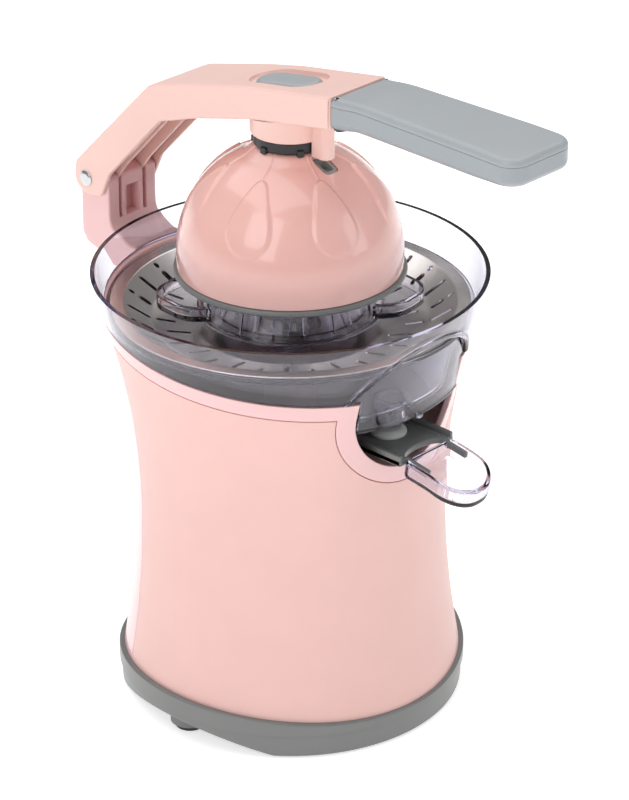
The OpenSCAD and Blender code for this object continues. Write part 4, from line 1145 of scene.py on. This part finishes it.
@dataclass
class PressHead:
    """The pink dome with its petals, the grey rim, the notch and the black collar."""

    r: float = 54.0
    z: float = 231.6
    wall: float = 2.6
    low_z: float = 223.4
    ring_r: float = 55.8
    ring_z: float = 220.4
    petals: int = 7
    petal_turn: float = 45.0
    petal_rise: float = 1.1
    petal_rim: float = 1.5
    pad_h: float = 2.0
    collar_z: float = 285.3
    boss_z: float = 291.4
    boss_r: float = 18.8
    peg_z: float = 283.8

    def _outer(self) -> list[Point]:
        """Outer line of the dome from the top down, as (radius, height)."""
        found = []
        for k in range(91):
            polar = math.radians(k)
            r, z = self.r * math.sin(polar), self.z + self.r * math.cos(polar)
            z += self.pad_h * smooth((22.5 - r) / 6)
            found.append((r, min(z, self.collar_z)))
        return [*found, (self.r, 228.5), (self.r, 225.6), (self.r, self.low_z + 0.3),
                (self.r - 0.4, self.low_z)]

    def _petal_half(self, polar: float) -> float:
        """Half width of a petal, degrees round the axis, at an angle from the top."""
        table = ((33, 0.0), (34.5, 4.0), (38, 6.6), (45, 9.6), (54, 12.4), (60, 13.2), (65, 12.4),
                 (69, 9.8), (72, 6.0), (74, 0.0))
        for (a, low), (b, high) in zip(table, table[1:]):
            if a <= polar <= b:
                return low + (high - low) * (polar - a) / (b - a)
        return 0.0

    def _raise_petals(self, bm: BMesh) -> None:
        """Lifts the petals out of the dome's outer face."""
        pitch = 360 / self.petals
        for vert in bm.verts:
            x, y, z = vert.co / MM
            r = math.hypot(x, y)
            if r < 10 or z < self.low_z + 1.5:
                continue
            polar = math.degrees(math.atan2(r, z - self.z))
            if polar < 90 and math.hypot(r, z - self.z) < self.r - 0.3:
                continue
            if polar >= 90 and r < self.r - 0.3:
                continue
            off = (math.degrees(math.atan2(x, -y)) + self.petal_turn) % pitch - pitch / 2
            inside = (self._petal_half(polar) - abs(off)) * math.radians(1) * r / self.petal_rim
            lift = self.petal_rise * smooth(0.5 + inside) * (1 - smooth((polar - 58) / 19))
            if inside > -0.5:
                vert.co += Vector((x, y, max(0.0, z - self.z))).normalized() * lift * MM

    def build_dome(self) -> BMesh:
        """The dome shell, with its slot for the peg."""
        inner = self.r - self.wall
        under = [(inner, self.low_z), *((inner * math.cos(math.radians(a)),
                                         self.z + inner * math.sin(math.radians(a)))
                                        for a in range(0, 76, 5)), (9.4, self.z + 50.5), (9.4, 284.9)]
        line = [p for p in self._outer() if p[0] > 9.4]
        bm = spun([*under, *line], 400)
        self._raise_petals(bm)
        slot = slab(rounded(oblong(-4.6, 4.6, -28, -17.2, 2.6, 0.6), 6), 268, 292, View.PLAN)
        return joined(bm, slot, Join.CUT)

    def build_rim(self) -> BMesh:
        """The soft grey rim under the dome."""
        z, r = self.ring_z, self.ring_r
        return spun(rounded([(r - 5.2, z, 0.5), (r - 1.2, z, 0.8), (r, z + 1.0, 1.0),
                             (r - 0.5, z + 2.8, 0.8), (r - 2.6, z + 3.0, 0.3), (r - 4.4, z + 3.0, 0.2), (r - 4.4, z + 5.4, 0.4),
                             (r - 5.2, z + 5.4, 0.3)], 5), 256)

    def build_notch(self) -> BMesh:
        """The grey insert in the dome's slot."""
        low, high = 273.5, 280.0
        bm = slab(rounded(oblong(-4.4, 4.4, -27.7, -17.4, 2.4, 0.6), 6), low, high, View.PLAN,
                  edges=(0.3, 0.5))
        sliced(bm, 1, spread(-27.7, -17.4, 1.0))
        for vert in bm.verts:
            x, y, z = vert.co / MM
            if z > 276:
                top = self.z + math.sqrt((self.r - 0.5) ** 2 - x * x - y * y)
                vert.co.z = (top - (high - z)) * MM
        cup = slab(rounded(oblong(-2.6, 2.6, -26, -19, 1.2, 1.2), 5), 277.2, 292, View.PLAN)
        return joined(bm, cup, Join.CUT)

    def build_collar(self) -> BMesh:
        """The black collar on the dome, with its tabs and the stem inside."""
        z, top = self.collar_z, self.boss_z - 0.3
        ring = spun(rounded([(8.0, z + 0.3, 0.2), (16.4, z + 0.3, 0.3), (17.3, z + 1.1, 0.5),
                             (17.3, top, 0.5), (8.0, top, 0.2)]), 128)
        tabs = [moved(slab(rounded(oblong(15.8, 18.4, -1.7, 1.7, 0.5, 0.5), 3), z - 0.6, z + 2.6,
                           View.PLAN, edges=(0.5, 0.4)), turn(a))
                for a in (0, 60, 120, 180, 240, 300)]
        stem = spun(rounded([(6.0, 276.4, 0.3), (14.8, 276.4, 0.5), (14.8, 279.0, 0.4),
                             (8.9, 279.0, 0.4), (8.9, 304.2, 0.3), (6.0, 304.2, 0.3)]), 64)
        return beside(ring, stem, *tabs)

    def build_boss(self) -> BMesh:
        """The boss under the arm and the peg in front of it."""
        boss = spun(rounded([(9.0, self.boss_z, 0.3), (self.boss_r, self.boss_z, 1.0),
                             (self.boss_r, 312, 0), (9.0, 312, 0)]), 160)
        peg = slab(rounded([(-4, -17.6, 0), (-4, -27, 3.6), (4, -27, 3.6), (4, -17.6, 0)], 8),
                   self.peg_z, 312, View.PLAN, edges=(0.9, 0.0))
        for part in (boss, peg):
            bmesh.ops.bisect_plane(part, geom=part.verts[:] + part.edges[:] + part.faces[:],
                                   plane_co=Vector((0, 8.6, 299.5)) * MM,
                                   plane_no=Vector((0, 9.2, 51.6)), clear_outer=True)
            bmesh.ops.holes_fill(part, edges=[e for e in part.edges if e.is_boundary], sides=0)
        return beside(boss, peg)

    def dress(self) -> None:
        """Builds the press head's pieces and gives them their finishes."""
        dress(self.build_dome(), "dome", PINK_DOME, ["dome_shell"], sharp=40)
        dress(self.build_rim(), "dome_rim", GREY_DEEP, ["dome_ring"])
        dress(self.build_notch(), "peg_seat", GREY_SATIN, ["dome_notch"])
        dress(self.build_collar(), "collar", BLACK, ["dome_collar"])
        dress(self.build_boss(), "boss", PINK_ARM, ["press_boss"], rim=0.25)


@dataclass
class Arm:
    """The pink arm with its open channel, hinge pin and release button."""

    width: float = 37.6
    wall: float = 2.3
    hinge_s: float = -120.5
    hinge_z: float = 237.5
    open_s: float = -30.0
    rib_x: float = 8.1
    pin_r: float = 3.0
    button_z: float = 317.4
    button_tilt: float = 9.4
    outline: tuple[Corner, ...] = (
        (-128.6, 244.4, 7), (-76.2, 297.8, 3.5), (-70.5, 300.6, 8), (-31, 311, 30), (-8.5, 316, 30),
        (43, 324.6, 0.5), (43, 308.8, 0.5), (-8.6, 299.6, 20), (-44, 290, 20), (-68.2, 281.6, 4),
        (-104, 244, 10), (-110.5, 230.2, 3.5), (-122, 228.7, 8), (-129.4, 233.6, 8))

    def build_shell(self) -> BMesh:
        """The arm, its channel, inner ribs, recess and pin bore."""
        s, z, half = self.hinge_s, self.hinge_z, self.width / 2
        bm = slab(rounded(self.outline, 7), -half, half, View.SIDE, edges=(1.2, 1.2), segments=4)
        channel = rounded([(s - 30, z - 22, 0), (s - 30, z + 1, 0), (s - 8.6, z + 1, 0),
                           (s - 7.0, z + 5.2, 3), (-77, 292.6, 3), (-70.5, 297, 3),
                           (self.open_s, 307.4, 2), (self.open_s, 280, 0), (-60, 260, 0),
                           (-90, 222, 0)], 4)
        bm = joined(bm, slab(channel, self.wall - half, half - self.wall, View.SIDE), Join.CUT)
        recess = moved(slab(stadium(43.4, 23.4, 20), 0, 14, View.PLAN, edges=(1.2, 0)),
                       shift(z=self.button_z - 2.6) @ turn(-self.button_tilt, "X"))
        pocket = slab(stadium(37.4, 17.8, 20), 304.4, 340, View.PLAN)
        bm = joined(joined(bm, recess, Join.CUT), pocket, Join.CUT)
        for a in (1, -1):
            hole = moved(slab(circle(self.pin_r + 0.1, steps=32), 10, 30, View.PLAN),
                         shift(y=-s, z=z) @ turn(90 * a, "Y"))
            bm = joined(bm, hole, Join.CUT)
        rib = rounded([(s - 5.4, z + 5.0, 3), (-75.6, 296.0, 3), (-70.5, 298.8, 4),
                       (self.open_s + 1, 309.4, 1), (self.open_s + 1, 295.0, 1), (-44, 291.2, 10),
                       (-67.6, 284.0, 4), (-103, 246.0, 8), (-112.4, 233.4, 4), (s, 229.8, 6), (s - 6.8, 233.0, 6)], 6)
        fins = []
        for x in (-self.rib_x, self.rib_x):
            fin = slab(rib, x - 1, x + 1, View.SIDE, edges=(0.4, 0.4))
            hole = moved(slab(circle(self.pin_r + 0.05, steps=32), -14, 14, View.PLAN),
                         shift(y=-s, z=z) @ turn(90, "Y"))
            fins.append(joined(fin, hole, Join.CUT))
        return beside(bm, *fins)

    def build_pin(self) -> BMesh:
        """The hinge pin with a low domed head at each side."""
        half, r = self.width / 2, self.pin_r
        head = r + 1.0
        bm = spun(rounded([(0, -half - 1.2, 0), (head - 1.4, -half - 1.15, 2.0),
                           (head, -half - 0.5, 0.5),
                           (head, -half, 0.2), (r, -half, 0), (r, half, 0), (head, half, 0.2),
                           (head, half + 0.5, 0.5), (head - 1.4, half + 1.15, 2.0),
                           (0, half + 1.2, 0)], 4), 48)
        return moved(bm, shift(y=-self.hinge_s, z=self.hinge_z) @ turn(90, "Y"))

    def build_button(self) -> BMesh:
        """The release button, crowned and sloped with the arm's back."""
        low = 308.2
        bm = slab(stadium(36.6, 17, 24), low, self.button_z, View.PLAN, edges=(0.3, 2.4), segments=6)
        sliced(bm, 1, spread(-18, 18, 2.4))
        sliced(bm, 0, spread(-8, 8, 2.0))
        slope = math.tan(math.radians(self.button_tilt))
        for vert in bm.verts:
            x, y, z = vert.co / MM
            share = max(0.0, (z - low) / (self.button_z - low))
            crown = 0.5 * (1 - (x / 8.5) ** 2) * (1 - (y / 18.3) ** 2) if share > 0.98 else 0.0
            vert.co.z += (-y * slope * share + crown - 0.4 * share) * MM
        return bm

    def dress(self) -> None:
        """Builds the arm's pieces and gives them their finishes."""
        dress(self.build_shell(), "arm", PINK_ARM, ["arm_shell"], rim=0.25)
        dress(self.build_pin(), "pin", STEEL, ["hinge_pin"])
        dress(self.build_button(), "button", GRIP_PAD, ["release_button"])


@dataclass
class Grip:
    """The grey handle: a hard lower shell and a soft upper pad."""

    root_s: float = 43.0
    end_s: float = 155.0
    root_half: float = 18.4
    end_half: float = 21.5
    thick: float = 14.6
    parting: float = 10.9
    nose: float = 10.0

    def _plan(self, inset: float = 0.0) -> list[Point]:
        """Plan outline of the handle."""
        return rounded([(-self.root_half + inset, -self.root_s - 0.3, 0.6),
                        (self.root_half - inset, -self.root_s - 0.3, 0.6),
                        (self.end_half - inset, -self.end_s + inset, self.nose),
                        (-self.end_half + inset, -self.end_s + inset, self.nose)], 12)

    def _bent(self, bm: BMesh) -> BMesh:
        """Lets a level slab follow the handle's upper and lower line.

        Args:
            bm: The slab, from 0 to its thickness.

        Returns:
            The bent slab.
        """
        sliced(bm, 1, spread(-self.end_s, -self.root_s, 4))
        sliced(bm, 0, spread(-self.end_half, self.end_half, 4))
        for vert in bm.verts:
            s, z = -vert.co.y / MM, vert.co.z / MM
            top = 324.6 + 1.5 * smooth((s - self.root_s) / 20) - 0.6 * smooth((s - 125) / 30)
            low = 308.8 + 2.8 * smooth((s - self.root_s) / 18) + 0.7 * smooth((s - 125) / 30)
            crown = 0.5 * (1 - (vert.co.x / MM / self.end_half) ** 2) * (z / self.thick) ** 2
            vert.co.z = (low + (top - low) * z / self.thick - 0.45 + crown) * MM
        return bm

    def dress(self) -> None:
        """Builds the handle's two pieces and gives them their finishes."""
        shell = slab(self._plan(), 0.0, self.parting, View.PLAN, edges=(4.0, 0.35), segments=6)
        pad = slab(self._plan(), self.parting + 0.02, self.thick, View.PLAN, edges=(0.35, 2.8),
                   segments=6)
        dress(self._bent(shell), "handle", GRIP_SHELL, ["handle_shell"])
        dress(self._bent(pad), "handle_top", GRIP_PAD, ["handle_pad"])


@dataclass
class DripLever:
    """The grey drip-stop lever, its clear tongue and its soft seal."""

    width: float = 37.0
    z: float = 156.0
    thick: float = 3.0
    pin_s: float = 46.0
    front_s: float = 88.0
    outlet_s: float = 64.0
    tip_s: float = 125.0
    slope: float = 9.0
    rail_h: float = 2.2

    def _sloped(self, bm: BMesh) -> BMesh:
        """Turns a level piece down about the plate's front edge."""
        hinge = shift(y=-self.front_s, z=self.z)
        return moved(bm, hinge @ turn(self.slope, "X") @ hinge.inverted())

    def build_plate(self) -> BMesh:
        """The plate with its side rails, inner beads, barrel and the bars under the tongue."""
        w, low = self.width / 2, self.z - self.thick
        arch = [(w * 0.72 * math.cos(a), -self.front_s + 6.2 * math.sin(a))
                for a in (math.pi * k / 14 for k in range(15))]
        plate = slab([(-w, -self.pin_s), (-w, -self.front_s), *((x, y) for x, y in reversed(arch)),
                      (w, -self.front_s), (w, -self.pin_s)], low, self.z, View.PLAN, edges=(0.4, 0.6))
        parts = [plate]
        for side in (-1, 1):
            rail = slab(rounded([(side * w, -self.front_s - 0.2, 0.5), (side * w, -52, 0.5),
                                 (side * (w - 2.1), -52, 0.5),
                                 (side * (w - 2.1), -self.front_s - 0.2, 0.5)], 3),
                        low, self.z + self.rail_h, View.PLAN, edges=(0.3, 0.7))
            bead = slab(rounded([(side * (w - 4.2), -84.0, 0.6), (side * (w - 4.2), -58, 0.6),
                                 (side * (w - 5.6), -58, 0.6), (side * (w - 5.6), -84.0, 0.6)], 3),
                        low + 1, self.z + 0.8, View.PLAN, edges=(0, 0.5))
            bar = slab(rounded([(side * 13 - 1, -102, 0.4), (side * 13 + 1, -102, 0.4),
                                (side * 13 + 1, -86.8, 0.2), (side * 13 - 1, -86.8, 0.2)], 3),
                       low, self.z, View.PLAN, edges=(0.3, 0.3))
            parts += [rail, bead, self._sloped(bar)]
        barrel = moved(spun(rounded([(2.1, -w, 0.2), (3.0, -w, 0.4), (3.0, w, 0.4),
                                     (2.1, w, 0.2)]), 40), shift(y=-self.pin_s, z=self.z - self.thick) @ turn(90, "Y"))
        bore = slab(circle(4.5, 0, -self.outlet_s), self.z - 8, self.z + 4, View.PLAN)
        parts[0] = joined(plate, bore, Join.CUT)
        return beside(*parts, barrel)

    def build_tongue(self) -> BMesh:
        """The clear tongue: an open tray with a rounded, drooping nose."""
        y0, r = -self.front_s - 0.8, 16.5
        nose_y = -self.tip_s + r + 1.2
        outer = rounded([(-17, y0, 3.4), (17, y0, 3.4), (r, nose_y - r + 0.6, r - 0.8),
                         (-r, nose_y - r + 0.6, r - 0.8)], 14)
        inner = rounded([(-14.8, y0 - 2.2, 1.6), (14.8, y0 - 2.2, 1.6),
                         (r - 2, nose_y - r + 2.6, r - 2.8),
                         (-r + 2, nose_y - r + 2.6, r - 2.8)], 14)
        tray = slab(outer, self.z - 9.5, self.z, View.PLAN, edges=(3.0, 0.9), segments=5)
        tray = joined(tray, slab(inner, self.z - 7.5, self.z + 3, View.PLAN, edges=(1.4, 0)), Join.CUT)
        for side in (-1, 1):
            room = slab([(x, y) for x, y, _ in oblong(side * 13 - 1.3, side * 13 + 1.3, -102.4, y0 + 1)],
                        self.z - 3.3, self.z + 3, View.PLAN)
            tray = joined(tray, room, Join.CUT)
        sliced(tray, 1, spread(-self.tip_s, y0, 2.5))
        for vert in tray.verts:
            past = max(0.0, -vert.co.y / MM - 101) / 24
            vert.co.z -= 5.5 * past ** 2 * MM
        return self._sloped(tray)

    def build_seal(self) -> BMesh:
        """The soft seal under the outlet."""
        z = self.z
        bm = spun(rounded([(0, z + 3.3, 0), (6.5, z + 3.2, 3), (8.7, z + 1.6, 1.2),
                           (8.7, z + 0.05, 0.4),
                           (4.45, z + 0.05, 0.2), (4.45, z - 3.05, 0.2), (6.0, z - 3.05, 0.3),
                           (6.0, z - 4.5, 0.5), (0, z - 4.5, 0)], 4), 64)
        return moved(bm, shift(y=-self.outlet_s))

    def dress(self) -> None:
        """Builds the lever's pieces and gives them their finishes."""
        dress(self.build_plate(), "lever", GREY_DEEP, ["drip_lever"])
        dress(self.build_tongue(), "tongue", CLEAR, ["drip_tongue"])
        dress(self.build_seal(), "seal", SILICONE, ["drip_seal"])


# The rest ----------------------------------------------------------------------------------


def finish_kept_nodes() -> None:
    """Gives every CAD node that stays in view its finish."""
    for finish, names in KEPT.items():
        for name in names:
            slots = frame["nodes"][name].data.materials
            slots.clear()
            slots.append(finish.material())
            log.info("%s keeps its shape, finish %s", name, finish.name)


@dataclass
class Softbox:
    """One soft light."""

    name: str
    place: Corner
    width: float
    height: float
    watts: float
    aim: Corner = (0.0, 0.0, 0.17)

    def build(self) -> None:
        """Adds the light, turned to its aim."""
        lamp = bpy.data.lights.new(self.name, "AREA")
        lamp.shape, lamp.energy = "RECTANGLE", self.watts
        lamp.size, lamp.size_y = self.width, self.height
        thing = bpy.data.objects.new(self.name, lamp)
        bpy.context.scene.collection.objects.link(thing)
        thing.location = self.place
        look = Vector(self.aim) - Vector(self.place)
        thing.rotation_euler = look.to_track_quat("-Z", "Y").to_euler()


@dataclass
class Studio:
    """Camera, pale floor and soft light."""

    camera_at: Corner = (-1.1109, -1.0728, 0.92465)
    look_at: Corner = (0.0079, -0.0083, 0.1508)
    lens: float = 204.7
    floor: float = 30.0
    sky: float = 0.27
    boxes: tuple[Softbox, ...] = (
        Softbox("left_box", (-1.7, -0.35, 1.25), 1.2, 1.6, 11.5),
        Softbox("right_box", (0.9, -1.7, 0.9), 0.8, 1.3, 4.2),
        Softbox("top_box", (0.2, 0.4, 2.2), 3.2, 3.2, 46.0),
    )

    def build(self) -> None:
        """Adds everything that isn't the press."""
        scene = bpy.context.scene
        scene.view_settings.view_transform = "Standard"
        lens = bpy.data.cameras.new("camera")
        lens.lens, lens.sensor_width, lens.sensor_fit = self.lens, 36.0, "HORIZONTAL"
        lens.clip_start, lens.clip_end = 0.05, 100
        camera = bpy.data.objects.new("camera", lens)
        scene.collection.objects.link(camera)
        camera.location = self.camera_at
        look = Vector(self.look_at) - Vector(self.camera_at)
        camera.rotation_euler = look.to_track_quat("-Z", "Y").to_euler()
        scene.camera = camera
        world = bpy.data.worlds.new("sky")
        world.use_nodes = True
        world.node_tree.nodes["Background"].inputs["Color"].default_value = (1, 1, 1, 1)
        world.node_tree.nodes["Background"].inputs["Strength"].default_value = self.sky
        scene.world = world
        for box in self.boxes:
            box.build()
        self._build_floor()

    def _build_floor(self) -> None:
        """Adds the floor, a wide pale disc."""
        bm = bmesh.new()
        bmesh.ops.create_circle(bm, cap_ends=True, segments=96, radius=self.floor)
        mesh = bpy.data.meshes.new("floor")
        bm.to_mesh(mesh)
        bm.free()
        paper = bpy.data.materials.new("paper")
        paper.use_nodes = True
        skin = paper.node_tree.nodes["Principled BSDF"]
        skin.inputs["Base Color"].default_value = (0.93, 0.93, 0.93, 1)
        skin.inputs["Roughness"].default_value = 0.9
        skin.inputs["Emission Color"].default_value = (1, 1, 1, 1)
        skin.inputs["Emission Strength"].default_value = 0.55
        mesh.materials.append(paper)
        floor = bpy.data.objects.new("floor", mesh)
        bpy.context.scene.collection.objects.link(floor)


def main() -> None:
    """Builds the studio, then each sub-assembly in order."""
    Studio().build()
    for part in (Base(), Housing(), Bowl(), Strainer(), Reamer(), PressHead(), Arm(), Grip(),
                 DripLever()):
        part.dress()
    finish_kept_nodes()


if __name__ == "__main__":
    main()
